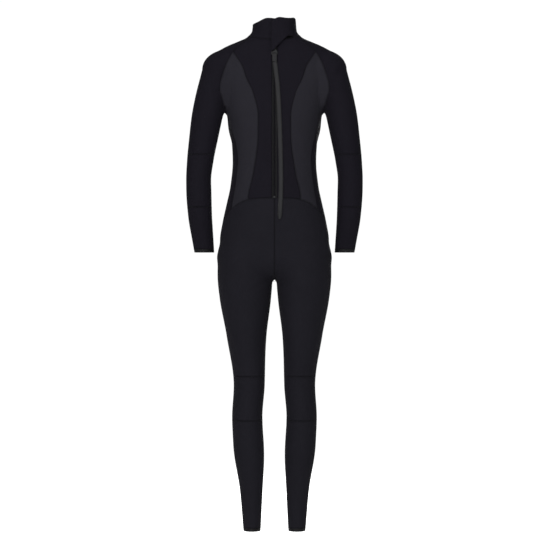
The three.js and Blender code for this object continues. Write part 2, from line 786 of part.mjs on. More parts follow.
// Flat shapes over the back of the neck: x from right to left, low to high, out from the form.
const overBack = (x, z) => leave((r) => [x, hearts.torso(z)[1] - r, z]);
function backPatch(columns, low, high, rows, fromX, toX) {
  return steps(rows).map((t) =>
    steps(columns).map((u) => overBack(mix(toX, fromX, u), mix(low(1 - u), high(1 - u), t))),
  );
}

const stack = 2 * PATCH_THICKNESS + 3 * PATCH_GAP;
const BULGE = 4.4; // over the zip's slider
const TAB_ROW = 12; // the tallest row of facets in the tab
const smooth = THREE.MathUtils.smoothstep;
const tabLift = (p) =>
  TAB_THICKNESS +
  mix(PATCH_GAP, stack, smooth(tabRoot.x - p.x, 0, 14)) +
  BULGE * smooth(tabRoot.x - p.x, 8, 28) * smooth(nape + 6 - p.z, 0, 18);
const tabLow = (u) => mix(nape + 3, nape - TAB_DROP, smooth(u, 0.2, 1));
const tabHigh = () => nape + COLLAR_HEIGHT + TAB_RISE;
const tabRows = Math.ceil((COLLAR_HEIGHT + TAB_RISE + TAB_DROP) / TAB_ROW);
const tabSheet = sheetOf([backPatch(8, tabLow, tabHigh, tabRows, tabRoot.x, -TAB_REACH)]);
add("collar_tab", thicken(tabSheet, TAB_THICKNESS, tabLift), "jersey");

const patchStart = underlapEnd.x - PATCH_INSET;
const patchX = [patchStart, patchStart - PATCH_WIDTH];
const patchLow = () => nape + PATCH_RISE;
const patchHigh = () => nape + PATCH_RISE + PATCH_HEIGHT;
const patch = sheetOf([backPatch(3, patchLow, patchHigh, 2, ...patchX)]);
add("loop_patch", thicken(patch, PATCH_THICKNESS, PATCH_THICKNESS + PATCH_GAP), "tape");
add("hook_patch", thicken(patch, PATCH_THICKNESS, 2 * (PATCH_THICKNESS + PATCH_GAP)), "plastic");

// ---------------------------------------------------------------- zip

const backAt = (z) => grade * backLine((z - crotch) / rise);
const zipGroup = new THREE.Group();
const zipLean = Math.atan2(backAt(nape) - backAt(hipSeam), nape - hipSeam);
zipGroup.position.set(0, backAt(nape), nape);
zipGroup.rotation.x = -zipLean;
suit.add(zipGroup);
const zipLength = (nape - hipSeam) / Math.cos(zipLean);

// Depths below the form's surface, in towards the wearer.
const tapeFace = TORSO_THICKNESS + ZIP_CLEARANCE;
const teethMiddle = tapeFace + TAPE_THICKNESS / 2;
const teethFace = teethMiddle - TEETH_THICKNESS / 2;
const plateFace = teethFace - ZIP_CLEARANCE - SLIDER_PLATE;
const plateBack = teethMiddle + TEETH_THICKNESS / 2 + ZIP_CLEARANCE + SLIDER_PLATE;
const tapeInner = TEETH_WIDTH / 2 + ZIP_CLEARANCE;

function zipStrip(xs, rows) {
  const [low, high] = [hipHeight(0) + half, nape - STOP_INSET * 2];
  return steps(rows).map((t) => xs.map((x) => overBack(x, mix(low, high, t))));
}
const tapeXs = [tapeInner, tapeInner + TAPE_WIDTH / 2, tapeInner + TAPE_WIDTH];
const STRIP_ROWS = 8;
const tape = sheetOf([zipStrip(tapeXs, STRIP_ROWS)]);
addPair("zip_tape", thicken(tape, TAPE_THICKNESS, -tapeFace), "tape");
const flapXs = steps(6).map((u) => mix(-FLAP_WIDTH / 2, FLAP_WIDTH / 2, u));
const flap = sheetOf([zipStrip(flapXs, STRIP_ROWS)]);
add("zip_flap", thicken(flap, FLAP_THICKNESS, -plateBack - ZIP_CLEARANCE), "jersey");

function block(x, y, z) {
  const box = new THREE.BoxGeometry(x[1] - x[0], y[1] - y[0], z[1] - z[0]);
  return box.translate((x[0] + x[1]) / 2, (y[0] + y[1]) / 2, (z[0] + z[1]) / 2);
}
const rowX = [TEETH_SPLIT / 2, TEETH_WIDTH / 2];
const rowY = [teethFace, teethFace + TEETH_THICKNESS];
const stopTop = -STOP_INSET;
const rowTop = stopTop - STOP_LENGTH - ZIP_CLEARANCE;
const stopFoot = -zipLength + STOP_INSET;
const rowFoot = stopFoot + STOP_LENGTH + ZIP_CLEARANCE;
addPair("zip_teeth", block(rowX, rowY, [rowFoot, rowTop]), "plastic", zipGroup);
addPair("zip_top_stop", block(rowX, rowY, [stopTop - STOP_LENGTH, stopTop]), "metal", zipGroup);
const bottomStop = block([-rowX[1], rowX[1]], rowY, [stopFoot, stopFoot + STOP_LENGTH]);
add("zip_bottom_stop", bottomStop, "metal", zipGroup);

const outline = (points) => new THREE.Shape(points.map(([x, y]) => new THREE.Vector2(x, y)));
const extruded = (shape, depth, curveSegments = 6) =>
  new THREE.ExtrudeGeometry(shape, { depth, bevelEnabled: false, curveSegments });
// A shape drawn in (x, z) becomes a plate whose outer face is at one depth.
const plate = (shape, thickness, face) =>
  extruded(shape, thickness).rotateX(Math.PI / 2).translate(0, face + thickness, 0);
// A shape drawn in (y, z) becomes a bar that is centred over the zip.
const ACROSS_X = new THREE.Matrix4().set(0, 0, 1, 0, 1, 0, 0, 0, 0, 1, 0, 0, 0, 0, 0, 1);
const bar = (shape, width) => extruded(shape, width).applyMatrix4(ACROSS_X).translate(-width / 2, 0, 0);

function solid(geometry) {
  const g = geometry.clone();
  g.deleteAttribute("normal");
  g.deleteAttribute("uv");
  const merged = mergeVertices(g, 1e-4);
  return new wasm.Manifold(
    new wasm.Mesh({
      numProp: 3,
      vertProperties: new Float32Array(merged.attributes.position.array),
      triVerts: new Uint32Array(merged.getIndex().array),
    }),
  );
}
function fromSolid(manifold) {
  const mesh = manifold.getMesh();
  return shell(mesh.vertProperties, [...mesh.triVerts]);
}

// The slider: two plates joined by a web, with lips that guide the tapes, and a bail on the outside.
const LIP_GAP = 0.4; // from the teeth to the lips
const BAIL_ROOT = 0.4; // how deep the bail is let into the plate
const sliderTop = rowTop - 1;
const bailZ = sliderTop - SLIDER_LENGTH / 2;
function sliderBody() {
  const lip = [tapeFace - ZIP_CLEARANCE, tapeFace + TAPE_THICKNESS + ZIP_CLEARANCE];
  const [w, inner, web] = [SLIDER_WIDTH / 2, tapeInner + LIP_GAP, SLIDER_WEB / 2];
  const [f, b] = [plateFace, plateBack];
  const right = [
    [w, f], [w, lip[0]], [inner, lip[0]], [inner, f + SLIDER_PLATE], [web, f + SLIDER_PLATE],
    [web, b - SLIDER_PLATE], [inner, b - SLIDER_PLATE], [inner, lip[1]], [w, lip[1]], [w, b],
  ];
  const left = right.map(([x, y]) => [-x, y]).reverse();
  const section = outline([...right, ...left]);
  const body = extruded(section, SLIDER_LENGTH).translate(0, 0, sliderTop - SLIDER_LENGTH);
  const reach = BAIL_OPENING / 2 + BAIL_WIRE;
  const [foot, top] = [f + BAIL_ROOT, f - BAIL_OPENING];
  const arch = [
    [foot, -reach], [top, -reach], [top - BAIL_WIRE, -reach + BAIL_WIRE],
    [top - BAIL_WIRE, reach - BAIL_WIRE], [top, reach], [foot, reach],
    [foot, reach - BAIL_WIRE], [top, reach - BAIL_WIRE],
    [top, -reach + BAIL_WIRE], [foot, -reach + BAIL_WIRE],
  ];
  const bail = bar(outline(arch), BAIL_WIDTH).translate(0, 0, bailZ);
  return fromSolid(solid(body).add(solid(bail)));
}
add("zip_slider", sliderBody(), "metal", zipGroup);

// The puller hangs from the bail by a crossbar, and leans out over the neoprene.
const PULLER_LEAN = 7.5 * degrees;
const CROSSBAR = 1.6;
const SLOT_HEIGHT = 4;
const LOWER_BAR = 2.2;
const NECK_WALL = 2.4; // beside the window
const WINDOW_HEIGHT = 8;
const LOOP_SLACK = 0.5; // between the leash's loop and the puller
const pullerGroup = new THREE.Group();
const hingeY = plateFace - BAIL_OPENING / 2;
pullerGroup.position.set(0, hingeY, bailZ);
pullerGroup.rotation.x = -PULLER_LEAN;
zipGroup.add(pullerGroup);
function pullerPlate() {
  const [n, w] = [PULLER_NECK / 2, PULLER_WIDTH / 2];
  const [top, foot] = [CROSSBAR / 2, CROSSBAR / 2 - PULLER_LENGTH];
  const flare = foot + 2 * SLOT_HEIGHT + 2 * LOWER_BAR;
  const right = [[n, top], [n, flare + 3], [w, flare - 2], [w, foot + 2], [w - 2, foot]];
  const left = right.map(([x, z]) => [-x, z]).reverse();
  const shape = outline([...left, ...right].reverse());
  const eye = n - NECK_WALL;
  const [sill, head] = [-CROSSBAR / 2 - WINDOW_HEIGHT, -CROSSBAR / 2];
  const window = [[-eye, head], [eye, head], [eye, sill], [-eye, sill]];
  const slotX = LEASH_WIDTH / 2 + LOOP_SLACK;
  const slotZ = foot + LOWER_BAR;
  const slot = [[-slotX, slotZ], [slotX, slotZ], [slotX, slotZ + SLOT_HEIGHT], [-slotX, slotZ + SLOT_HEIGHT]];
  shape.holes.push(outline(window), outline(slot));
  return plate(shape, PULLER_THICKNESS, -PULLER_THICKNESS / 2);
}
add("zip_puller", pullerPlate(), "metal", pullerGroup);

const LOOP_SEWN = 4; // of the loop's length
const LOOP_BEND = 0.6; // at its corners

// The leash is sewn round the puller's lower bar, and hangs down beside the zip.
const lowerBar = PULLER_LENGTH - (CROSSBAR + LOWER_BAR) / 2;
const barY = hingeY - lowerBar * Math.sin(PULLER_LEAN);
const barZ = bailZ - lowerBar * Math.cos(PULLER_LEAN);
function loopOutline() {
  const [gap, low] = [PULLER_THICKNESS / 2 + LOOP_SLACK, LOOP_SEWN - LOOP_LENGTH];
  const high = LOWER_BAR / 2 + LOOP_SLACK;
  const wall = LEASH_THICKNESS;
  const ringAt = (g, h, l) => [
    [-g, l], [g, l], [g, h - LOOP_BEND], [g - LOOP_BEND, h], [LOOP_BEND - g, h], [-g, h - LOOP_BEND],
  ];
  const shape = outline(ringAt(gap + wall, high + wall, -LOOP_LENGTH));
  shape.holes.push(outline(ringAt(gap, high, low).reverse()));
  return shape;
}
add("leash_loop", bar(loopOutline(), LEASH_WIDTH).translate(0, barY, barZ), "webbing", zipGroup);

// The leash's centre line beside the zip, as [x, distance down the zip].
const LEASH_ROUTE = [
  [0.6, 62.6], [3.6, 85], [8.2, 125], [12.4, 190], [15.2, 270], [17.2, 350],
  [17.4, 410], [15.4, 460], [14, 492],
];
const route = new THREE.CatmullRomCurve3(LEASH_ROUTE.map(([x, down]) => new THREE.Vector3(x, 0, -down)));
function ribbon(from, to, n) {
  const sides = [1, -1].map((side) =>
    steps(n).map((t) => {
      const [p, d] = [route.getPointAt(mix(from, to, t)), route.getTangentAt(mix(from, to, t))];
      return [p.x - (side * d.z * LEASH_WIDTH) / 2, p.z + (side * d.x * LEASH_WIDTH) / 2];
    }),
  );
  return outline([...sides[0], ...sides[1].reverse()].reverse());
}
const leashFace = barY - LEASH_THICKNESS / 2;
const endShare = 1 - LEASH_END / route.getLength();
add("leash", plate(ribbon(0, endShare, 28), LEASH_THICKNESS, leashFace), "webbing", zipGroup);
const endGap = ZIP_CLEARANCE / route.getLength();
const folded = plate(ribbon(endShare + endGap, 1, 3), 2 * LEASH_THICKNESS, leashFace - LEASH_THICKNESS);
add("leash_end", folded, "webbing", zipGroup);

suit.position.set(0, -backAt(nape), -nape);

export default root;
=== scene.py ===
"""A women's full wetsuit with a back zip, in the shape that it has when it is worn.

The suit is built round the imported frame. Points are worked out in millimetres above the ankle hems,
on the same body form that the frame was cut from, and are placed in the frame in metres.
"""

import math

import bmesh
import bpy
import numpy as np
from mathutils import Matrix, Vector


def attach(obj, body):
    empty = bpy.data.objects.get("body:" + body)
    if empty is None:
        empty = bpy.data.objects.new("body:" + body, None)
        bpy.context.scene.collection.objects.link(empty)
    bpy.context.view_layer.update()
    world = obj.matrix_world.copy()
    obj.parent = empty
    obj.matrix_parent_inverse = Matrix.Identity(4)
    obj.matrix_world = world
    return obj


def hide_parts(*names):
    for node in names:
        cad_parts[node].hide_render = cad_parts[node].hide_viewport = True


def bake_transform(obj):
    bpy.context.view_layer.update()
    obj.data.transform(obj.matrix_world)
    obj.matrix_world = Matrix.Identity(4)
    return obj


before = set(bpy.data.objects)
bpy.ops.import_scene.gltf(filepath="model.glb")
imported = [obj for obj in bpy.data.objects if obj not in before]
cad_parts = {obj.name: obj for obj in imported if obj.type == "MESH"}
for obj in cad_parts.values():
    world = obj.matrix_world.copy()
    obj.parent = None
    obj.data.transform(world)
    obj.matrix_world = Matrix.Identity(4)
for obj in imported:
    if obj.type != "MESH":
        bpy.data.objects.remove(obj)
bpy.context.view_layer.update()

bl_info = {
    "name": "Back-zip wetsuit",
    "version": (1, 0, 0),
    "blender": (4, 5, 0),
    "location": "3D View > Sidebar > Wetsuit",
    "description": "Builds the panels, seams, zip and leash of a full wetsuit on its frame",
    "category": "Object",
}


def linear(text):
    """A colour written as six sRGB hex digits, as the linear numbers that a shader takes."""
    channels = [int(text[i : i + 2], 16) / 255 for i in (0, 2, 4)]
    return [c / 12.92 if c <= 0.04045 else ((c + 0.055) / 1.055) ** 2.4 for c in channels]


# ---------------------------------------------------------------- sizes of the suit, in millimetres

INSEAM = 694.0  # ankle hem to crotch
NAPE_RISE = 653.0  # crotch to the collar seam at the nape
UNDERARM = 390.0  # armpit to wrist hem
TORSO_THICKNESS = 4.0
LIMB_THICKNESS = 3.0
HEM_HEIGHT = 9.0
HIP_SEAM_RISE = 219.0
HIP_SEAM_DROP = 50.0
CORNER_RISE = 14.0
COLLAR_HEIGHT = 56.0
COLLAR_THICKNESS = 3.0
TAB_REACH = 9.5
TAB_DROP = 34.0
TAB_RISE = 4.0
TAB_THICKNESS = 2.6
PATCH_WIDTH = 26.0
PATCH_HEIGHT = 34.0
PATCH_THICKNESS = 1.2
PATCH_GAP = 0.4
PATCH_RISE = 12.0
PATCH_INSET = 2.0
KNEE_PAD_MARGIN = 8.0
KNEE_PAD_GAP = 0.8
ZIP_EDGE = 7.2  # from the centre back to the neoprene's edge

CROTCH = INSEAM
HIP_SEAM = CROTCH + HIP_SEAM_RISE
BUST = CROTCH + 421
ARMPIT = CROTCH + 462
NAPE = CROTCH + NAPE_RISE
APEX = NAPE - 33
WRIST = ARMPIT - UNDERARM
CUFF_TOP = WRIST + HEM_HEIGHT
ELBOW_TOP = ARMPIT - 0.3128 * UNDERARM
ELBOW_BOTTOM = ARMPIT - 0.682 * UNDERARM
KNEE_TOP = 0.614 * INSEAM
KNEE_BOTTOM = 0.44 * INSEAM
BACK = -1
FRONT = 1
MM = 0.001

# ---------------------------------------------------------------- the body form

ZIP_SLOPE = 0.0648
SEAT_BACK = -98.0


def back_line(h):
    """The straight line of the back along the zip, at a height above the crotch."""
    return SEAT_BACK - (HIP_SEAM_RISE - 1 - h) * ZIP_SLOPE


BACK_AT_NAPE = back_line(NAPE_RISE)

# Torso: height above the crotch, half width, front, back.
TORSO = [
    (41, 148, 74, -100),
    (106, 150, 84, -104),
    (156, 142.5, 90, -102),
    (206, 131.5, 90, back_line(206)),
    (256, 121, 86, back_line(256)),
    (321, 115, 84, back_line(321)),
    (386, 118.5, 90, back_line(386)),
    (436, 126.5, 98, back_line(436)),
    (471, 138, 96, back_line(471)),
    (516, 150, 86, back_line(516)),
    (566, 161, 70, back_line(566)),
    (601, 163, 60, back_line(601)),
    (618, 158, 55, back_line(618)),
    (629, 148, 53, back_line(629)),
    (640, 128, 51, back_line(640)),
    (651, 101, 50, back_line(651)),
    (662, 77, 48, back_line(662)),
    (681, 61, 46, -66),
    (716, 57, 46, -62),
]
PELVIS_END = 65.0
PELVIS_CAP = 66.0

# Leg: share of the inseam, centre x, half width, front, back.
LEG = [
    (0, 61.8, 23.5, 28, -37),
    (0.155, 63.7, 31.1, 30, -44),
    (0.345, 71.4, 42.2, 40, -62),
    (0.452, 74.8, 41.9, 46, -61),
    (0.582, 69.6, 42.8, 60, -50),
    (0.772, 76.8, 54.8, 70, -74),
    (0.922, 80.2, 70.7, 74, -88),
    (1, 80.9, 75.4, 71, -95),
    (1.075, 79, 76.5, 66, -101),
]
LEG_END = 1.075
LEG_CAP = 66.0

# Arm: share of the underarm above the armpit, centre x, half width, centre y, half depth.
ARM = [
    (-1, 193.7, 27, 6, 22),
    (-0.91, 197.7, 29.3, 2, 28),
    (-0.744, 204.6, 33, -9, 37),
    (-0.574, 207.9, 34.5, -17, 39),
    (-0.49, 208.4, 34.2, -20, 40),
    (-0.36, 204, 36.4, -20, 42),
    (-0.2, 195, 39.8, -19, 44),
    (-0.023, 183.5, 43, -18, 46),
    (0.113, 172, 44, -16, 48),
    (0.287, 153, 46, -14, 50),
]
ARM_END = 0.287
ARM_CAP = 46.0

BUST_LOBE = {"centre": (60.0, 60.0, BUST), "size": (60.0, 52.0, 62.0)}
TORSO_SQUARENESS = 2.25
LIMB_SQUARENESS = 2.05
CROTCH_BLEND = 16.0
ARM_BLEND = 14.0
BUST_BLEND = 36.0


def through(table):
    """A smooth curve through a table of stations that never overshoots between two of them."""
    rows = np.array(table, float)
    at, v = rows[:, 0], rows[:, 1:]
    secant = np.diff(v, axis=0) / np.diff(at)[:, None]
    slopes = np.vstack([secant[:1], np.zeros_like(secant[1:]), secant[-1:]])
    a, b = secant[:-1], secant[1:]
    total = np.where(a + b == 0, 1, a + b)
    slopes[1:-1] = np.where(a * b <= 0, 0, 2 * a * b / total)

    def value(q):
        q = np.asarray(q, float)
        i = np.clip(np.searchsorted(at, q) - 1, 0, len(at) - 2)
        span = (at[i + 1] - at[i])[..., None]
        t = np.clip((q - at[i]) / (at[i + 1] - at[i]), 0, 1)[..., None]
        t2, t3 = t * t, t * t * t
        ends = (2 * t3 - 3 * t2 + 1) * v[i] + (3 * t2 - 2 * t3) * v[i + 1]
        both = (t3 - 2 * t2 + t) * slopes[i] + (t3 - t2) * slopes[i + 1]
        return np.moveaxis(ends + span * both, -1, 0)

    return value


torso_at, leg_at, arm_at = through(TORSO), through(LEG), through(ARM)
arm_heart = through([(-20, 182), (44, 168), (112, 146), (150, 118), (175, 84), (191, 62), (204, 50)])


def merged(a, b, width):
    """The smooth union of two distances."""
    h = np.maximum(width - np.abs(a - b), 0) / width
    return np.minimum(a, b) - h * h * width / 4


def outside(dx, dy, beyond, wide, deep, cap, n):
    """How far outside one limb a point is: an oval section, closed by a dome past the limb's end."""
    r = (np.abs(dx / wide) ** n + np.abs(dy / deep) ** n) ** (1 / n)
    r = np.where(beyond > 0, np.hypot(r, beyond / cap), r)
    return (r - 1) * np.minimum(wide, deep)


def form(p):
    """The body: negative inside, positive outside, about in millimetres."""
    x, y, z = np.abs(p[..., 0]), p[..., 1], p[..., 2]
    above = z - CROTCH
    wide, front, back = torso_at(above)
    torso = outside(x, y - (front + back) / 2, PELVIS_END - above, wide, (front - back) / 2,
                    PELVIS_CAP, TORSO_SQUARENESS)
    lx, lw, lf, lb = leg_at(z / INSEAM)
    leg = outside(x - lx, y - (lf + lb) / 2, z - LEG_END * INSEAM, lw, (lf - lb) / 2,
                  LEG_CAP, LIMB_SQUARENESS)
    ax, aw, ay, ad = arm_at((z - ARMPIT) / UNDERARM)
    arm = outside(x - ax, y - ay, z - ARMPIT - ARM_END * UNDERARM, aw, ad, ARM_CAP, LIMB_SQUARENESS)
    (bx, by, bz), (sx, sy, sz) = BUST_LOBE["centre"], BUST_LOBE["size"]
    lobe = (np.sqrt(((x - bx) / sx) ** 2 + ((y - by) / sy) ** 2 + ((z - bz) / sz) ** 2) - 1) * sy
    return merged(merged(merged(torso, lobe, BUST_BLEND), leg, CROTCH_BLEND), arm, ARM_BLEND)


def normals_at(p):
    """Unit normals of the form."""
    e = 0.5
    axes = [np.array(a) * e for a in np.eye(3)]
    n = np.stack([form(p + a) - form(p - a) for a in axes], -1)
    return n / np.linalg.norm(n, axis=-1, keepdims=True)


def leave(point, count, step=2.5, reach=420.0):
    """Where each of some paths first leaves the form. point(r, k) gives points at r along paths k."""
    far = np.full(count, step)
    active = np.arange(count)
    while len(active):
        inside = form(point(far[active], active)) < 0
        active = active[inside & (far[active] < reach)]
        far[active] += step
    near, every = far - step, np.arange(count)
    for _ in range(12):
        middle = (near + far) / 2
        inside = form(point(middle, every)) < 0
        near, far = np.where(inside, middle, near), np.where(inside, far, middle)
    return point((near + far) / 2, every)


def heart(limb, z):
    """The point inside a limb that rays start from, at a height."""
    z = np.asarray(z, float)
    if limb == "torso":
        _, front, back = torso_at(z - CROTCH)
        return np.zeros_like(z), (front + back) / 2
    if limb == "arm":
        x, _, y, _ = arm_at((z - ARMPIT) / UNDERARM)
        over = z - ARMPIT
        return np.where(over > -20, arm_heart(over)[0], x), y
    x, _, front, back = leg_at(np.minimum(z, CROTCH * LEG_END) / INSEAM)
    return x, (front + back) / 2


def cast(limb, angle, z):
    """The points of the form in some directions from a limb's heart, at some heights."""
    angle, z = np.broadcast_arrays(np.asarray(angle, float), np.asarray(z, float))
    shape, angle, z = angle.shape, angle.ravel(), z.ravel()
    cx, cy = heart(limb, z)
    dx, dy = np.cos(angle), np.sin(angle)

    def point(r, k):
        return np.stack([cx[k] + dx[k] * r, cy[k] + dy[k] * r, z[k]], -1)

    return leave(point, len(z)).reshape(shape + (3,))


def angle_of(limb, p):
    cx, cy = heart(limb, p[..., 2])
    return np.arctan2(p[..., 1] - cy, p[..., 0] - cx)


# ---------------------------------------------------------------- seams, on the wearer's right

FINE = 6  # samples for each one of the frame's
ACROSS, CONTOUR, SIDE = 4 * FINE, 4 * FINE, 8 * FINE
UPPER, LOWER, FLANK, RISE = 3 * FINE, 8 * FINE, 7 * FINE, 7 * FINE
SHOULDER, ROUND = 16 * FINE, 24 * FINE
SLEEVE_LINE, INSEAM_LINE = 5 * FINE, 8 * FINE


def steps(n):
    return np.linspace(0, 1, n + 1)


def mix(a, b, t):
    return a + (b - a) * t


def smooth(t, low=0.0, high=1.0):
    t = np.clip((t - low) / (high - low), 0, 1)
    return t * t * (3 - 2 * t)


def neck_height(y):
    return NAPE + 14 - 0.0056 * (y + 20) ** 2


def hip_height(x):
    return HIP_SEAM - HIP_SEAM_DROP * (np.abs(x) / 135) ** 4


def seam_points(angle, height, z):
    """The form's points in some directions, at the height that the seam has there."""
    z = np.full(len(angle), float(z))
    for _ in range(14):
        p = cast("torso", angle, z)
        z = mix(z, height(p), 0.7)
    return p


def neck_points(angle):
    return seam_points(angle, lambda p: neck_height(p[:, 1]), NAPE)


def hip_points(angle):
    return seam_points(angle, lambda p: hip_height(p[:, 0]), HIP_SEAM - 25)


# Seams that are drawn in the back view, as height and x; the front has the same ones.
raglan_x = through([(ARMPIT - 30, 137), (ARMPIT, 137), (ARMPIT + 59, 149), (ARMPIT + 115, 135), (APEX, 113),
                    (APEX + 22, 90), (NAPE + 9, 62), (NAPE + 40, 30)])
contour_x = through([(HIP_SEAM - 40, 70), (HIP_SEAM, 71.5), (HIP_SEAM + 69, 57.5), (HIP_SEAM + 168, 45),
                     (ARMPIT - 20, 44.5), (ARMPIT + 45, 58), (ARMPIT + 84, 76), (APEX - 42, 86.5),
                     (APEX, 113)])
side_x = through([(HIP_SEAM - 50, 121), (HIP_SEAM - 22, 117), (HIP_SEAM + 58, 104), (HIP_SEAM + 107, 100.5),
                  (HIP_SEAM + 150, 106), (HIP_SEAM + 192, 119), (ARMPIT + CORNER_RISE, 136)])


def raglan_points(angle):
    """Points of the raglan seam: angle 0 is the underarm, positive angles go up the back."""
    cy, cz, s, c = -16, ARMPIT + 80, np.sin(angle), np.cos(angle)

    def point(r, k):
        z = cz - r * c[k]
        return np.stack([raglan_x(z)[0], cy - r * s[k], z], -1)

    return leave(point, len(angle))


def pelvis_points(angle):
    """Points of the centre seam between the legs: angle 0 is the crotch."""
    cy, cz, s, c = -10, HIP_SEAM - 100, np.sin(angle), np.cos(angle)
    return leave(lambda r, k: np.stack([0 * r, cy - r * s[k], cz - r * c[k]], -1), len(angle))


def drawn_points(x, z, side):
    """The form's points at some x and heights, on the back or the front."""
    z = np.asarray(z, float)
    x = np.broadcast_to(np.asarray(x, float), z.shape).ravel()
    shape, z = z.shape, z.ravel()
    cy = heart("torso", z)[1]
    return leave(lambda r, k: np.stack([x[k], cy[k] + side * r, z[k]], -1), len(z)).reshape(shape + (3,))


def level_point(x, z, side):
    """One point of the form straight behind or before the y axis."""
    return leave(lambda r, k: np.stack([0 * r + x, side * r, 0 * r + z], -1), 1)[0]


def turning(test, yes, no):
    """The value between two others where a test of many values changes from true to false."""
    for _ in range(4):
        t = np.linspace(yes, no, 33)
        k = max(1, int(np.argmin(test(t))))
        yes, no = t[k - 1], t[k]
    return (yes + no) / 2


def between(a, b, n, points, limb="torso"):
    """Seam points in even directions from one point to another."""
    made = points(np.linspace(angle_of(limb, a), angle_of(limb, b), n + 1))
    made[0], made[-1] = a, b
    return made


def joined(*runs):
    return np.concatenate([runs[0]] + [run[1:] for run in runs[1:]])


def raglan_seam(side):
    turn = -side
    neck = turning(lambda a: (lambda p: p[:, 2] < neck_height(p[:, 1]))(raglan_points(turn * a)),
                   math.radians(95), math.radians(178))
    apex = turning(lambda a: raglan_points(turn * a)[:, 2] < APEX, math.radians(60), neck)
    corner = turning(lambda a: raglan_points(turn * a)[:, 2] < ARMPIT + CORNER_RISE, 0, math.radians(90))
    return {
        "corner": corner,
        "lower": raglan_points(turn * np.linspace(corner, apex, LOWER + 1)),
        "upper": raglan_points(turn * np.linspace(apex, neck, UPPER + 1)),
    }


def torso_seams(side):
    raglan = raglan_seam(side)
    apex, corner = raglan["lower"][-1], raglan["lower"][0]

    def hip(x):
        angle = turning(lambda a: hip_points(a)[:, 0] < x, side * math.radians(90), 0)
        return hip_points(np.array([angle]))[0]

    contour_foot = hip(contour_x(HIP_SEAM - 4)[0])
    side_foot = hip(side_x(HIP_SEAM - 26)[0])
    z = np.linspace(side_foot[2], corner[2], FLANK + 1)
    flank = drawn_points(side_x(z)[0], z, side)
    flank[0], flank[-1] = side_foot, corner
    z = np.linspace(contour_foot[2], apex[2], FLANK + LOWER + 1)
    inner = drawn_points(contour_x(z)[0], z, side)
    inner[0], inner[-1] = contour_foot, apex
    return {**raglan, "flank": flank, "inner": inner, "contour_foot": contour_foot, "side_foot": side_foot}


seams = {side: torso_seams(side) for side in (BACK, FRONT)}
underarm = raglan_points(np.linspace(seams[BACK]["corner"], -seams[FRONT]["corner"], SIDE + 1))
underarm[0], underarm[-1] = seams[BACK]["lower"][0], seams[FRONT]["lower"][0]


# ---------------------------------------------------------------- the cut of each panel


def fill(limb, bottom, top, start, end):
    """A grid of points over four sides, by rays from a limb's heart."""

    def flat(points, first):
        a = np.unwrap(angle_of(limb, points))
        a += 2 * np.pi * np.round((first - a[0]) / (2 * np.pi))
        return np.stack([a, points[:, 2]], -1)

    low = flat(bottom, angle_of(limb, bottom[(len(bottom) - 1) // 2]))
    left, right = flat(start, low[0, 0]), flat(end, low[-1, 0])
    high = flat(top, left[-1, 0])
    u = steps(len(bottom) - 1)[None, :, None]
    v = steps(len(start) - 1)[:, None, None]
    sides = mix(left[:, None], right[:, None], u) + mix(low[None], high[None], v)
    corners = mix(mix(low[0], low[-1], u), mix(left[-1], right[-1], u), v)
    angle, z = np.moveaxis(sides - corners, -1, 0)
    grid = cast(limb, angle, z)
    grid[0], grid[-1], grid[:, 0], grid[:, -1] = bottom, top, start, end
    # At the crotch a ray can pass through both legs: those points are drawn between their neighbours.
    for row in grid if limb == "leg" else ():
        near = np.flatnonzero(row[:, 0] >= 0)
        row[:] = np.stack([np.interp(np.arange(len(row)), near, row[near, k]) for k in range(3)], -1)
    return grid


def ring(limb, low, high, columns, rows, begin=-np.pi, finish=np.pi):
    """A grid round a limb, or over part of it, between two heights."""
    angle, z = np.meshgrid(np.linspace(begin, finish, columns + 1), np.linspace(low, high, rows + 1))
    grid = cast(limb, angle, z)
    if finish - begin > 6:
        grid[:, -1] = grid[:, 0]
    return grid


def limb_line(limb, foot, head, n, ease=None):
    """A line up a limb: angle and height both change evenly, unless the height eases out."""
    t = steps(n)
    return cast(limb, mix(foot[0], head[0], t), mix(foot[1], head[1], ease(t) if ease else t))


# The sides of a patch that are sewn: bottom, top, start, end.
ALL_SEWN = (True, True, True, True)


def back_centre():
    seam = seams[BACK]
    outer = joined(seam["inner"], seam["upper"])
    foot = level_point(ZIP_EDGE, hip_height(ZIP_EDGE), BACK)
    head = level_point(ZIP_EDGE, neck_height(-70), BACK)
    bottom = between(foot, seam["contour_foot"], ACROSS, hip_points)
    top = between(head, outer[-1], ACROSS, neck_points)
    z = np.linspace(foot[2], head[2], len(outer))
    return fill("torso", bottom, top, drawn_points(ZIP_EDGE, z, BACK), outer)


def contour(side):
    seam = seams[side]
    bottom = between(seam["contour_foot"], seam["side_foot"], CONTOUR, hip_points)
    top = np.repeat(seam["inner"][-1:], CONTOUR + 1, 0)
    return fill("torso", bottom, top, seam["inner"], joined(seam["flank"], seam["lower"]))


def side_grid():
    bottom = between(seams[BACK]["side_foot"], seams[FRONT]["side_foot"], SIDE, hip_points)
    return fill("torso", bottom, underarm, seams[BACK]["flank"], seams[FRONT]["flank"])


MIRROR = np.array([-1.0, 1.0, 1.0])


def front_centre():
    seam = seams[FRONT]
    outer = joined(seam["inner"], seam["upper"])

    def span(end, points):
        a = angle_of("torso", end)
        made = points(np.linspace(a, np.pi - a, 2 * ACROSS + 1))
        made[0], made[-1] = end, end * MIRROR
        return made

    bottom, top = span(seam["contour_foot"], hip_points), span(outer[-1], neck_points)
    return fill("torso", bottom, top, outer, outer * MIRROR)


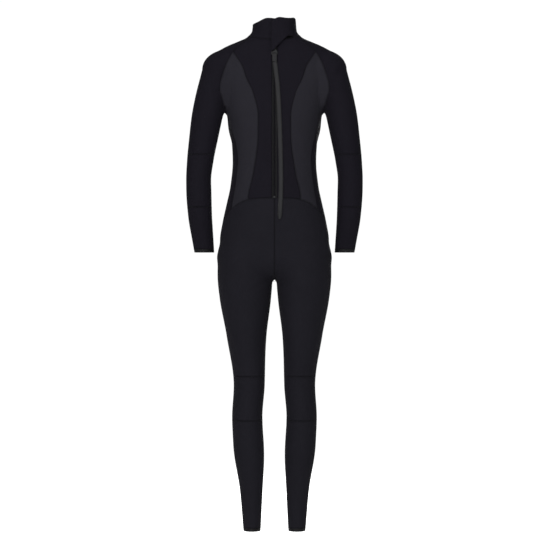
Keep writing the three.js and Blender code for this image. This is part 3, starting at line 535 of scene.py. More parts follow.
def sleeve():
    b, f = seams[BACK], seams[FRONT]
    middle, half = SIDE // 2, SHOULDER // 2
    pit = underarm[middle]
    pit_angle = angle_of("arm", pit) - 2 * np.pi
    inner = limb_line("arm", (-np.pi, ELBOW_TOP), (pit_angle, pit[2]), SLEEVE_LINE)
    inner[-1] = pit
    neck = between(b["upper"][-1], f["upper"][-1], SHOULDER, neck_points)
    crest = neck[half]
    back_side = joined(inner, underarm[: middle + 1][::-1], b["lower"], b["upper"])
    front_side = joined(inner, underarm[middle:], f["lower"], f["upper"])
    over = limb_line("arm", (0, ELBOW_TOP), (angle_of("arm", crest), crest[2]), len(back_side) - 1,
                     lambda t: np.sin(t * np.pi / 2))
    over[-1] = crest
    feet = [cast("arm", np.linspace(a, a + np.pi, half + 1), ELBOW_TOP) for a in (-np.pi, 0)]
    feet[0][0] = feet[1][-1] = inner[0]
    feet[0][-1] = feet[1][0] = over[0]
    return [
        (fill("arm", feet[0], neck[: half + 1], back_side, over), (True, True, True, False)),
        (fill("arm", feet[1], neck[half:], over, front_side), (True, True, False, True)),
    ]


def rising_seam(side):
    top = turning(lambda a: pelvis_points(-side * a)[:, 2] < HIP_SEAM, math.radians(30), math.radians(150))
    return pelvis_points(-side * np.linspace(0, top, RISE + 1))


def inseam_line(side):
    rising = rising_seam(side)
    line = limb_line("leg", (side * np.pi, KNEE_TOP), (side * np.pi, rising[0, 2]), INSEAM_LINE)
    line[-1] = rising[0]
    return joined(line, rising)


def hip_line(side):
    """The hip seam from the centre back or front to the middle of the side."""
    seam = seams[side]
    flank_middle = between(seams[BACK]["side_foot"], seams[FRONT]["side_foot"], SIDE, hip_points)[SIDE // 2]
    near = level_point(ZIP_EDGE, hip_height(ZIP_EDGE), side)
    return joined(
        np.array([rising_seam(side)[-1], near]),
        between(near, seam["contour_foot"], ACROSS, hip_points),
        between(seam["contour_foot"], seam["side_foot"], CONTOUR, hip_points),
        between(seam["side_foot"], flank_middle, SIDE // 2, hip_points),
    )


def outer_line():
    """The seam down the outside of the thigh."""
    head = hip_line(BACK)[-1]
    line = limb_line("leg", (0, KNEE_TOP), (angle_of("leg", head), head[2]), INSEAM_LINE + RISE)
    line[-1] = head
    return line


def thigh(side):
    inner, hip, outer = inseam_line(side), hip_line(side), outer_line()
    foot = cast("leg", side * np.linspace(np.pi, 0, len(hip)), KNEE_TOP)
    foot[0], foot[-1] = inner[0], outer[0]
    return fill("leg", foot, hip, inner, outer)


def neckline():
    """The neckline from the right back panel's zip edge round to the left one's."""
    head = level_point(ZIP_EDGE, neck_height(-70), BACK)
    right = between(head, seams[BACK]["upper"][-1], ACROSS, neck_points)
    over = between(right[-1], seams[FRONT]["upper"][-1], SHOULDER, neck_points)
    a = angle_of("torso", over[-1])
    front = neck_points(np.linspace(a, np.pi - a, 2 * ACROSS + 1))
    half = joined(right, over)
    return half, front, (half * MIRROR)[::-1]


# ---------------------------------------------------------------- folds and the sewn edge

# Folds as side, x and height of both ends, width and height, in millimetres. A negative height is a crease.
FOLDS = [
    (BACK, -106, 436, -36, 409, 6.5, -1.5),  # behind the left knee
    (BACK, -100, 424, -48, 402, 7.5, 1.1),
    (BACK, 44, 416, 98, 405, 7, -0.9),  # behind the right knee
    (BACK, 42, 379, 104, 386, 8, -0.8),
    (BACK, -112, 372, -42, 384, 9, -0.7),
    (BACK, -116, 676, -82, 634, 8, -1.2),  # under the seat
    (BACK, -74, 652, -14, 690, 9, -1.3),
    (BACK, 70, 655, 14, 690, 9, -1.3),
    (BACK, 112, 668, 84, 640, 9, -0.9),
    (BACK, -148, 1194, -170, 1180, 5, -1.3),  # the armpits
    (BACK, -136, 1206, -158, 1190, 6, 1.1),
    (BACK, 142, 1210, 168, 1196, 5, -1.2),
    (BACK, 132, 1190, 156, 1206, 6, 0.9),
    (BACK, -184, 1268, -158, 1222, 9, -1.5),  # from the shoulder to the armpit
    (BACK, 184, 1268, 158, 1222, 9, -1.2),
    (BACK, -98, 1010, -60, 1000, 10, -0.8),  # the small of the back
    (BACK, 62, 1004, 100, 1016, 10, -0.8),
    (BACK, -92, 1050, -40, 1044, 11, 0.6),
    (BACK, 40, 1046, 92, 1052, 11, 0.6),
    (FRONT, 165, 1198, 140, 1180, 6, -1.3),
    (FRONT, -165, 1198, -140, 1180, 6, -1.3),
    (FRONT, 184, 1004, 226, 992, 6, -1.4),  # inside the elbows
    (FRONT, -184, 1004, -226, 992, 6, -1.4),
    (FRONT, 182, 972, 228, 964, 7, -1.6),
    (FRONT, -182, 972, -228, 964, 7, -1.6),
    (FRONT, 184, 940, 224, 936, 6, -1.2),
    (FRONT, -184, 940, -224, 936, 6, -1.2),
    (FRONT, 12, 716, 96, 786, 12, -1.6),  # from the crotch to the hips
    (FRONT, -12, 716, -96, 786, 12, -1.6),
    (FRONT, 20, 706, 108, 738, 10, -1.1),
    (FRONT, -20, 706, -108, 738, 10, -1.1),
    (FRONT, -70, 1002, 30, 994, 12, -0.9),  # the waist
    (FRONT, -20, 974, 76, 984, 12, -0.8),
    (FRONT, 46, 204, 90, 192, 8, -0.7),  # above the ankles
    (FRONT, -46, 198, -90, 190, 8, -0.7),
    (BACK, 40, 92, 84, 86, 7, -0.8),
    (BACK, -40, 98, -84, 90, 7, -0.8),
]


def relief(p, n, strength):
    """How far the cloth stands off the form in its folds."""
    height = np.zeros(p.shape[:-1])
    for side, x1, z1, x2, z2, width, tall in FOLDS:
        a, d = np.array([x1, z1], float), np.array([x2 - x1, z2 - z1], float)
        q = p[..., [0, 2]] - a
        along = (q @ d) / (d @ d)
        across = (q[..., 0] * d[1] - q[..., 1] * d[0]) / np.linalg.norm(d)
        fade = smooth(along, -0.15, 0.3) * (1 - smooth(along, 0.7, 1.15))
        fade *= smooth(n[..., 1] * side, 0.05, 0.45)
        height += tall * fade * np.exp(-((across / width) ** 2))
    swell = np.sin(p[..., 2] / 31 + 1.7 * np.sin(p[..., 0] / 47)) * np.sin(p[..., 0] / 38 + p[..., 1] / 53)
    return strength * (height + 0.22 * swell)


def sewn(grid, sides):
    """Adds two close lines of points along each sewn side. Gives the grid, its depth there as a share,
    and the distance of each point from the nearest sewn side, in millimetres."""
    near = ((0.8, 0.25), (2.2, 0.55))  # distance from the side, and the most of a cell that it may be
    drops = []
    for axis, flags in ((0, sides[:2]), (1, sides[2:])):
        g = np.moveaxis(grid, axis, 0)
        drop = np.zeros(len(g))
        for end in (0, 1):
            if not flags[end]:
                continue
            g, drop = g[::-1] if end else g, drop[::-1] if end else drop
            wide = np.maximum(np.linalg.norm(g[1] - g[0], axis=-1, keepdims=True), 1e-6)
            extra = [g[0] + (g[1] - g[0]) * np.minimum(d / wide, share) for d, share in near]
            g = np.concatenate([g[:1], np.array(extra), g[1:]])
            drop = np.concatenate([[1.0, 0.22, 0.02], drop[1:]])
            g, drop = g[::-1] if end else g, drop[::-1] if end else drop
        grid = np.moveaxis(g, 0, axis)
        drops.append(drop)
    reach = np.full(grid.shape[:2], 1e3)
    for axis, flags in ((0, sides[:2]), (1, sides[2:])):
        run = np.cumsum(np.linalg.norm(np.diff(grid, axis=axis), axis=-1), axis=axis)
        run = np.concatenate([np.zeros_like(np.take(run, [0], axis)), run], axis)
        total = np.take(run, [-1], axis)
        reach = np.minimum(reach, run if flags[0] else reach)
        reach = np.minimum(reach, total - run if flags[1] else reach)
    return grid, np.maximum(drops[0][:, None], drops[1][None, :]), reach


def in_frame(p):
    """Millimetres above the ankle hems to metres in the frame."""
    return (np.asarray(p, float) - np.array([0, BACK_AT_NAPE, NAPE])) * MM


ZIP_LEAN = math.atan2(BACK_AT_NAPE - back_line(HIP_SEAM_RISE), NAPE - HIP_SEAM)
ZIP_LENGTH = (NAPE - HIP_SEAM) / math.cos(ZIP_LEAN)
ZIP_PLACE = Matrix.Rotation(-ZIP_LEAN, 4, "X") @ Matrix.Scale(MM, 4)


def along_zip(p):
    """Millimetres in the zip's own frame, whose z runs up the zip, to metres in the frame."""
    return np.asarray(p, float) @ np.array(ZIP_PLACE.to_3x3()).T


# ---------------------------------------------------------------- mesh helpers

SHARP = 25  # degrees between two faces of a hard part whose edge is rounded


def finished(bm, name, looks, body=None, nodes=(), slot=None, bend=None):
    """Makes an object of a mesh in the frame, gives it its looks and, unless a bend is given, says what it
    rides on.
    """
    bm.normal_update()
    mesh = bpy.data.meshes.new(name)
    bm.to_mesh(mesh)
    bm.free()
    for polygon in mesh.polygons:
        polygon.use_smooth = True
    mesh.set_sharp_from_angle(angle=math.radians(38))
    piece = bpy.data.objects.new(name, mesh)
    bpy.context.scene.collection.objects.link(piece)
    for look in looks:
        mesh.materials.append(material(look))
    if bend:
        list(bend)
        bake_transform(piece)
    else:
        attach(piece, body)
    if nodes:
        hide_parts(*nodes)
    return piece


def lattice(bm, points, uv_layer=None, uv=None, layers=()):
    """Adds a grid of faces through points in the frame. uv is in metres; layers pairs each vertex layer
    with its values."""
    rows, columns = points.shape[:2]
    made = bmesh.ops.create_grid(bm, x_segments=columns - 1, y_segments=rows - 1, size=1)
    verts = made["verts"]
    number = {}
    for i, (v, co) in enumerate(zip(verts, points.reshape(-1, 3).tolist())):
        v.co = co
        number[v] = i
    faces = list({f for v in verts for f in v.link_faces})
    faces.sort(key=lambda f: min(number[v] for v in f.verts))
    if uv is not None:
        uvs = uv.reshape(-1, 2).tolist()
        for f in faces:
            for loop in f.loops:
                loop[uv_layer].uv = uvs[number[loop.vert]]
    for layer, values in layers:
        for v, value in zip(verts, values.reshape(len(verts), -1)):
            v[layer] = value.tolist() if len(value) > 1 else float(value[0])


def flat_uv(points):
    """Distances over a grid of points in metres: across from the middle, and up."""
    across = np.cumsum(np.linalg.norm(np.diff(points, axis=1), axis=-1), axis=1)
    across = np.concatenate([np.zeros_like(across[:, :1]), across], 1)
    across -= across[:, -1:] / 2
    middle = points[:, points.shape[1] // 2]
    up = np.concatenate([[0], np.cumsum(np.linalg.norm(np.diff(middle, axis=0), axis=-1))])
    return np.stack([across, np.broadcast_to(up[:, None], across.shape)], -1)


def flat_size(patches):
    """The width and length of the flat cut, and its area, in metres."""
    width = sum(np.linalg.norm(np.diff(g, axis=1), axis=-1).sum(1).max() for g in patches)
    length = max(np.linalg.norm(np.diff(g, axis=0), axis=-1).sum(0).max() for g in patches)
    area = 0
    for g in patches:
        a, b = g[1:, 1:] - g[:-1, :-1], g[1:, :-1] - g[:-1, 1:]
        area += np.linalg.norm(np.cross(a, b), axis=-1).sum() / 2
    return width, length, area


def cloth(name, patches, thickness, looks, body, nodes, slot, mirror=False, bend=None, level=False, lift=None,
          sheet=True):
    """A panel of neoprene over the form, from patches of points and their sewn sides: rolled edges,
    folds, a wall of even thickness and a lining."""
    sizes = bpy.context.scene.wetsuit_sizes
    bm = bmesh.new()
    uv_layer = bm.loops.layers.uv.new("UVMap")
    edge_layer = bm.verts.layers.float.new("edge")
    inner_layer = bm.verts.layers.float_vector.new("inner")
    laid = []
    for grid, sides in patches:
        grid, drop, reach = sewn(grid, sides)
        n = normals_at(grid)
        if level:
            n[..., 2] = 0
            n /= np.linalg.norm(n, axis=-1, keepdims=True)
        up = relief(grid, n, sizes.fold_strength) if not (level or lift) else 0
        up = np.asarray(up + (lift(grid) if lift else 0))[..., None]
        outer, inner = grid + n * (up - drop[..., None] * sizes.seam_depth / MM), grid + n * (up - thickness)
        across, along = np.gradient(grid, axis=1), np.gradient(grid, axis=0)
        inward = (np.cross(across, along) * n).sum() < 0
        if mirror:
            outer, inner = outer * MIRROR, inner * MIRROR
        outer, inner = in_frame(outer), in_frame(inner)
        if inward != mirror:
            outer, inner, reach = outer[:, ::-1], inner[:, ::-1], reach[:, ::-1]
        laid.append(outer)
        # The edge layer holds each point's distance from a sewn side; the jersey's finish paints shade beside
        # the seams with it.
        lattice(bm, outer, uv_layer, flat_uv(outer), [(edge_layer, reach * MM), (inner_layer, inner)])
    bmesh.ops.remove_doubles(bm, verts=bm.verts[:], dist=2e-6)
    bmesh.ops.dissolve_degenerate(bm, edges=bm.edges[:], dist=2e-6)
    # The wall: the sheet stays as the outer face, and a copy of it is moved to the inner one.
    outside_faces = set(bm.faces)
    made = bmesh.ops.extrude_face_region(bm, geom=bm.faces[:], use_keep_orig=True)["geom"]
    inside_faces = {f for f in made if isinstance(f, bmesh.types.BMFace)}
    for v in made:
        if isinstance(v, bmesh.types.BMVert):
            v.co = v[inner_layer]
    bmesh.ops.recalc_face_normals(bm, faces=bm.faces[:])
    for f in bm.faces:
        place = 0 if f in outside_faces else 1 if f in inside_faces else 2
        f.material_index = min(place, len(looks) - 1)
    bm.verts.layers.float_vector.remove(inner_layer)
    piece = finished(bm, name, looks, body, nodes, slot, bend)
    if sheet:
        width, length, area = flat_size(laid)
    return piece


def both(name, patches, thickness, looks, bodies, slot, bend=None, **more):
    """The same piece for the wearer's right and left."""
    for hand, mirror in (("right", False), ("left", True)):
        bent = None
        if bend:
            a, b, start, end = bend
            bent = (a, b.format(hand), start, end)
        node = f"{name}_{hand}"
        cloth(f"cloth_{node}", patches, thickness, looks, bodies.format(hand), [node], slot, mirror=mirror,
              bend=bent, **more)


def thread(bm, path, normals, step, width, radius):
    """A zigzag of thread over a seam: it dips into the cloth on both sides."""
    run = np.concatenate([[0], np.cumsum(np.linalg.norm(np.diff(path, axis=0), axis=1))])
    count = max(4, int(run[-1] / step * 4))
    at = np.linspace(0, run[-1], count + 1)
    p = np.stack([np.interp(at, run, path[:, i]) for i in range(3)], -1)
    n = np.stack([np.interp(at, run, normals[:, i]) for i in range(3)], -1)
    n /= np.linalg.norm(n, axis=1, keepdims=True)
    t = np.gradient(p, axis=0)
    t /= np.linalg.norm(t, axis=1, keepdims=True) + 1e-12
    side = np.cross(n, t)
    phase = np.arange(count + 1) % 4
    across = np.array([-1.0, 0, 1, 0])[phase] * width / 2
    up = np.array([-1.6, 0.15, -1.6, 0.15])[phase] * radius
    centre = p + side * across[:, None] + n * up[:, None]
    d = np.gradient(centre, axis=0)
    d /= np.linalg.norm(d, axis=1, keepdims=True) + 1e-12
    b = np.cross(d, n)
    b /= np.linalg.norm(b, axis=1, keepdims=True) + 1e-12
    a = np.cross(b, d)
    turn = np.linspace(0, 2 * np.pi, 5)[None, :, None]
    tube = centre[:, None] + radius * (np.cos(turn) * b[:, None] + np.sin(turn) * a[:, None])
    tube[:, -1] = tube[:, 0]
    lattice(bm, in_frame(tube))


def closed(bm):
    """Joins a swept grid's two long edges and closes its ends."""
    bmesh.ops.remove_doubles(bm, verts=bm.verts[:], dist=1e-7)
    bmesh.ops.holes_fill(bm, edges=[e for e in bm.edges if e.is_boundary], sides=0)
    bmesh.ops.recalc_face_normals(bm, faces=bm.faces[:])


def refined(name, node, look, body, slot, radius):
    """A hard part of the frame with its edges rounded. radius is in millimetres."""
    bm = bmesh.new()
    bm.from_mesh(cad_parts[node].data)
    verts = list({v for f in bm.faces for v in f.verts})
    bmesh.ops.remove_doubles(bm, verts=verts, dist=1e-5)
    verts = [v for v in verts if v.is_valid]
    edges = list({e for v in verts for e in v.link_edges})
    bmesh.ops.dissolve_limit(bm, angle_limit=math.radians(1.5), verts=verts, edges=edges)
    for layer in list(bm.loops.layers.uv.values()):
        bm.loops.layers.uv.remove(layer)
    bm.normal_update()
    edges = [e for e in bm.edges if len(e.link_faces) == 2 and e.calc_face_angle(0) > math.radians(SHARP)]
    bmesh.ops.bevel(bm, geom=edges, offset=radius * MM, segments=2, affect="EDGES", profile=0.5, material=-1,
                    clamp_overlap=True)
    return finished(bm, name, [look], body, [node], slot)


# ---------------------------------------------------------------- sizes and colours that can be changed


def measure(name, description, default, least, most):
    """A size in metres."""
    return bpy.props.FloatProperty(name=name, description=description, default=default, min=least, max=most,
                                   unit="LENGTH")


class WetsuitSizes(bpy.types.PropertyGroup):
    """Sizes of the suit's finish."""

    seam_depth: measure("Seam depth", "How far the stitches pull an edge down", 0.0007, 0, 0.002)
    stitch_length: measure("Stitch length", "Length of one zigzag of thread", 0.0032, 0.001, 0.01)
    stitch_width: measure("Stitch width", "Width of the zigzag over a seam", 0.0044, 0.001, 0.01)
    thread_radius: measure("Thread radius", "Half the thickness of the thread", 0.00024, 0.0001, 0.001)
    fold_strength: bpy.props.FloatProperty(name="Fold strength", description="Depth of the folds, as a share",
                                           default=1.0, min=0, max=2, subtype="FACTOR")
    tooth_pitch: measure("Tooth pitch", "From one zip tooth to the next in a row", 0.0036, 0.002, 0.006)
    weft_pitch: measure("Weft pitch", "From one rib of the leash to the next", 0.0016, 0.0008, 0.004)
    pad_pitch: measure("Knee rib pitch", "From one rib of a knee pad to the next", 0.0078, 0.004, 0.02)


def colour(name, description, text):
    return bpy.props.FloatVectorProperty(name=name, description=description, default=linear(text), size=3,
                                         min=0, max=1, subtype="COLOR")


class WetsuitColours(bpy.types.PropertyGroup):
    """Colours of the suit's materials."""

    jersey: colour("Jersey", "Black nylon jersey of the torso and sleeves", "17151c")
    charcoal: colour("Charcoal jersey", "Contour panels beside the zip", "26252b")
    leg: colour("Leg jersey", "Smoother jersey of the seat and legs", "1b1a20")
    lining: colour("Lining", "Brushed inside of the neoprene", "2a2a2e")
    rubber: colour("Rubber", "Printed knee pads and hem tape", "0e0e10")
    tape: colour("Tape", "Woven tape of the zip", "131316")
    plastic: colour("Zip teeth", "Moulded acetal", "0f0f11")
    metal: colour("Zip metal", "Dark enamel on zinc", "18191b")
    webbing: colour("Webbing", "Leash", "262628")
    thread: colour("Thread", "Nylon thread of the seams", "151518")


# ---------------------------------------------------------------- materials


def add(tree, kind, inputs=None, **settings):
    """Adds a node with its settings and inputs. An input given as another node's output is linked."""
    made = tree.nodes.new(kind)
    for name, value in settings.items():
        setattr(made, name, value)
    for name, value in (inputs or {}).items():
        socket = made.inputs[name]
        if isinstance(value, bpy.types.NodeSocket):
            tree.links.new(value, socket)
        else:
            socket.default_value = value
    return made


def calc(tree, operation, a, b=0.0, c=0.0):
    """Adds a sum of two or three values and returns its result."""
    return add(tree, "ShaderNodeMath", {0: a, 1: b, 2: c}, operation=operation).outputs[0]


def coordinates(tree, source):
    """The x and y of the piece's own UV map, or of its place in the frame, in metres."""
    made = add(tree, "ShaderNodeTexCoord")
    parts = add(tree, "ShaderNodeSeparateXYZ", {0: made.outputs[source]})
    return made.outputs["Object"], parts.outputs["X"], parts.outputs["Y"]


def spread(tree, value, low, high, least, most):
    """A value between low and high, stretched to run from least to most."""
    ends = {"Value": value, "From Min": low, "From Max": high, "To Min": least, "To Max": most}
    return add(tree, "ShaderNodeMapRange", ends).outputs[0]


def shaded(tree, base, factor):
    """A colour times a factor."""
    return add(tree, "ShaderNodeVectorMath", {0: base, "Scale": factor}, operation="SCALE").outputs[0]


def tinted(tree, base, low, high, factor):
    """The base colour made darker or lighter by a factor that goes from 0 to 1."""
    return shaded(tree, (*base,), spread(tree, factor, 0.0, 1.0, low, high))


def bumped(tree, height, strength, distance):
    """Normals tilted by a height from 0 to 1, whose full depth is distance metres."""
    inputs = {"Height": height, "Strength": strength, "Distance": distance}
    return add(tree, "ShaderNodeBump", inputs).outputs[0]


def noise(tree, where, scale, detail=2.0, rough=0.5):
    """Noise whose grain is 1 / scale metres."""
    inputs = {"Vector": where, "Scale": scale, "Detail": detail, "Roughness": rough}
    return add(tree, "ShaderNodeTexNoise", inputs).outputs[0]


def knit_height(tree, x, y, wale, course):
    """Jersey: upright rows of V-shaped loops. wale and course are the pitches of the loops in metres."""
    fold = calc(tree, "PINGPONG", x, wale / 2)
    share = calc(tree, "MULTIPLY", fold, 2 / wale)
    turn = calc(tree, "MULTIPLY_ADD", y, 2 * math.pi / course, calc(tree, "MULTIPLY", share, 3.4))
    wave = calc(tree, "MULTIPLY_ADD", calc(tree, "SINE", turn), 0.5, 0.5)
    column = calc(tree, "POWER", share, 0.5)
    return calc(tree, "MULTIPLY", column, calc(tree, "MULTIPLY_ADD", wave, 0.55, 0.45))


def weave_height(tree, x, y, warp, weft):
    """Plain weave: warp and weft threads that pass over each other in turn."""
    u = calc(tree, "SINE", calc(tree, "MULTIPLY", x, math.pi / warp))
    v = calc(tree, "SINE", calc(tree, "MULTIPLY", y, math.pi / weft))
    return calc(tree, "MULTIPLY_ADD", calc(tree, "MULTIPLY", u, v), 0.5, 0.5)


SEAM_SHADE_REACH = 0.0045  # how far from a seam the jersey is darkened with painted shade of the seam's groove


def jersey_look(tree, base, grain, variation, heather):
    """Knitted jersey: loops, slow changes of shade, and painted shade in a band beside each seam."""
    place, x, y = coordinates(tree, "UV")
    loops = knit_height(tree, x, y, grain, grain * 0.8)
    cloud = noise(tree, place, 9, 3)
    fleck = noise(tree, place, 620, 1)
    shade = tinted(tree, base, 1 - variation, 1 + variation, cloud)
    fine = spread(tree, fleck, 0.3, 0.7, 1 - heather, 1 + heather)
    loop = calc(tree, "MULTIPLY_ADD", loops, 0.22, 0.86)
    # Painted shade: the jersey is darker near each seam, as if shaded in the seam's groove.
    edge = add(tree, "ShaderNodeAttribute", attribute_name="edge").outputs["Fac"]
    seam_shade = spread(tree, edge, 0.0, SEAM_SHADE_REACH, 0.66, 1.0)
    factor = calc(tree, "MULTIPLY", calc(tree, "MULTIPLY", fine, loop), seam_shade)
    shade = shaded(tree, shade, factor)
    worn = calc(tree, "MULTIPLY_ADD", noise(tree, place, 26, 4, 0.6), 0.14, 0.76)
    height = calc(tree, "MULTIPLY_ADD", fleck, 0.35, loops)
    return shade, worn, bumped(tree, height, 0.55, 0.00035)


def material(name):
    """A finish by name, made once."""
    made = bpy.data.materials.get(name)
    if made:
        return made
    made = bpy.data.materials.new(name)
    made.use_nodes = True
    tree = made.node_tree
    tree.nodes.clear()
    shader = add(tree, "ShaderNodeBsdfPrincipled")
    add(tree, "ShaderNodeOutputMaterial", {"Surface": shader.outputs[0]})
    base, constants, links = FINISHES[name](tree, bpy.context.scene.wetsuit_colours)
    for socket, value in constants.items():
        shader.inputs[socket].default_value = value
    for socket, value in links.items():
        tree.links.new(value, shader.inputs[socket])
    made.diffuse_color = (*base, 1)
    return made


# Jersey is drawn with 1.4 mm loops, because its real ones of 0.5 mm are too fine to show.
JERSEY_LOOP = 0.0014


def knitted(base, sheen, tint, variation=0.1, heather=0.05, grain=JERSEY_LOOP, specular=0.08):
    """Jersey of a base colour, with a sheen, slow changes of shade and a heathered yarn."""
    def build(tree, colours):
        value = tuple(getattr(colours, base))
        shade, worn, bump = jersey_look(tree, value, grain, variation, heather)
        constants = {"Sheen Weight": sheen, "Sheen Roughness": 0.42, "Sheen Tint": (*tint, 1),
                     "IOR": 1.45, "Specular IOR Level": specular}
        return value, constants, {"Base Color": shade, "Roughness": worn, "Normal": bump}
    return build


def lining_look(tree, colours):
    """Brushed loop pile: soft tufts about 2 mm apart."""
    value = tuple(colours.lining)
    place, _, _ = coordinates(tree, "UV")
    tuft = noise(tree, place, 520, 3, 0.65)
    bump = bumped(tree, tuft, 0.9, 0.0007)
    return (value, {"Sheen Weight": 0.35, "Sheen Roughness": 0.5, "IOR": 1.45, "Specular IOR Level": 0.15,
                    "Roughness": 0.95}, {"Base Color": tinted(tree, value, 0.7, 1.3, tuft), "Normal": bump})


def foam_look(tree, colours):
    """Cut neoprene foam: closed cells about 0.3 mm across between two faces of jersey."""
    value = tuple(colours.rubber)
    place, _, _ = coordinates(tree, "UV")
    cells = add(tree, "ShaderNodeTexVoronoi", {"Vector": place, "Scale": 2600.0}).outputs["Distance"]
    bump = bumped(tree, cells, 0.5, 0.0002)
    return (value, {"IOR": 1.5, "Specular IOR Level": 0.25, "Roughness": 0.82},
            {"Base Color": tinted(tree, value, 0.75, 1.2, cells), "Normal": bump})


def rubber_look(tree, colours):
    """Rubber print: satin, with a fine moulded grain and scuffs here and there."""
    value = tuple(colours.rubber)
    place, _, _ = coordinates(tree, "UV")
    grain = noise(tree, place, 1500, 2)
    scuff = noise(tree, place, 60, 5, 0.7)
    rough = spread(tree, scuff, 0.35, 0.7, 0.42, 0.66)
    bump = bumped(tree, grain, 0.35, 0.00015)
    return (value, {"IOR": 1.5, "Specular IOR Level": 0.2},
            {"Base Color": tinted(tree, value, 0.8, 1.35, scuff), "Roughness": rough, "Normal": bump})


def woven(base, warp, weft, sheen=0.25, specular=0.2, contrast=0.35, depth=0.0003, source="UV", edge=0.0):
    """Plain weave of a warp and a weft pitch, with painted shade within edge metres of a strap's selvedge,
    where its rounded edges turn from the light.
    """
    def build(tree, colours):
        value = tuple(getattr(colours, base))
        place, x, y = coordinates(tree, source)
        height = weave_height(tree, x, y, warp, weft)
        slub = noise(tree, place, 300, 2)
        shade = tinted(tree, value, 1 - contrast, 1 + contrast, height)
        shade = shaded(tree, shade, calc(tree, "MULTIPLY_ADD", slub, 0.3, 0.85))
        if edge:
            # Painted shade: the strap is darkened towards its rounded selvedges.
            reach = add(tree, "ShaderNodeAttribute", attribute_name="edge").outputs["Fac"]
            shade = shaded(tree, shade, spread(tree, reach, 0.0, edge, 0.3, 1.0))
        rough = calc(tree, "MULTIPLY_ADD", slub, 0.15, 0.68)
        bump = bumped(tree, height, 0.7, depth)
        constants = {"Sheen Weight": sheen, "Sheen Roughness": 0.4, "IOR": 1.5,
                     "Specular IOR Level": specular}
        return value, constants, {"Base Color": shade, "Roughness": rough, "Normal": bump}
    return build


def plastic_look(tree, colours):
    """Moulded acetal: slightly waxy, with faint flow marks."""
    value = tuple(colours.plastic)
    place, _, _ = coordinates(tree, "Object")
    flow = noise(tree, place, 900, 3, 0.6)
    bump = bumped(tree, flow, 0.15, 0.0001)
    rough = calc(tree, "MULTIPLY_ADD", flow, 0.2, 0.42)
    return (value, {"IOR": 1.48, "Specular IOR Level": 0.16},
            {"Base Color": tinted(tree, value, 0.85, 1.2, flow), "Roughness": rough, "Normal": bump})


def enamel_look(tree, colours):
    """Baked enamel on die-cast zinc: hard and smooth, worn a little brighter in places."""
    value = tuple(colours.metal)
    place, _, _ = coordinates(tree, "Object")
    wear = noise(tree, place, 240, 5, 0.7)
    rough = spread(tree, wear, 0.4, 0.7, 0.4, 0.56)
    bump = bumped(tree, wear, 0.08, 0.0001)
    return (value, {"IOR": 1.5, "Specular IOR Level": 0.18, "Coat Weight": 0.04, "Coat Roughness": 0.3},
            {"Base Color": tinted(tree, value, 0.8, 1.5, wear), "Roughness": rough, "Normal": bump})


def thread_look(tree, colours):
    """Bonded nylon thread: a slight gloss and a twist of 0.6 mm."""
    value = tuple(colours.thread)
    place, _, _ = coordinates(tree, "Object")
    twist = noise(tree, place, 1600, 1)
    bump = bumped(tree, twist, 0.4, 0.0001)
    return (value, {"IOR": 1.53, "Specular IOR Level": 0.12, "Sheen Weight": 0.02, "Roughness": 0.6},
            {"Base Color": tinted(tree, value, 0.7, 1.3, twist), "Normal": bump})


FINISHES = {
    # Matt black nylon jersey bonded to foam: a soft sheen where it turns away.
    "black nylon jersey, knitted": knitted("jersey", 0.02, (0.75, 0.75, 0.85)),
    # Charcoal jersey with a heathered yarn, a shade lighter.
    "charcoal nylon jersey, knitted": knitted("charcoal", 0.02, (0.8, 0.8, 0.9), 0.08, 0.12),
    # A smoother jersey of the legs, with a little more gloss.
    "smooth nylon jersey, knitted": knitted("leg", 0.02, (0.75, 0.75, 0.85), 0.12, 0.04, 0.0012, 0.1),
    "thermal lining, brushed": lining_look,
    "neoprene foam, cut": foam_look,
    "rubber print, moulded": rubber_look,
    # Zip tape: 0.7 mm warp threads.
    "polyester zip tape, woven": woven("tape", 0.0007, 0.0009),
    # Leash webbing: 1.5 mm warp bundles and 1.6 mm weft ribs, with painted shade along its edges.
    "polyester webbing, woven": woven("webbing", 0.0015, 0.0016, 0.2, 0.25, 0.4, edge=0.0032),
    "polyester webbing, folded": woven("webbing", 0.0015, 0.0016, 0.2, 0.2, 0.4, source="Object"),
    "hook and loop, woven": woven("tape", 0.0012, 0.0012, 0.2, 0.15, 0.5, 0.0006),
    "acetal, moulded": plastic_look,
    "zinc, enamelled": enamel_look,
    "nylon thread, bonded": thread_look,
}
JERSEY = ["black nylon jersey, knitted", "thermal lining, brushed", "neoprene foam, cut"]
CHARCOAL = ["charcoal nylon jersey, knitted"] + JERSEY[1:]
LEGS = ["smooth nylon jersey, knitted"] + JERSEY[1:]


# ---------------------------------------------------------------- the stage

SENSOR_WIDTH = 36
VIEW_WIDTH = 1.5125  # metres that the camera takes in across the plane y = VIEW_PLANE
VIEW_PLANE = 0.055
VIEW_DISTANCE = 6.0
FLOOR_HEIGHT = -1.62
WORLD_LIGHT = 0.06  # on the suit; the world is white to the camera


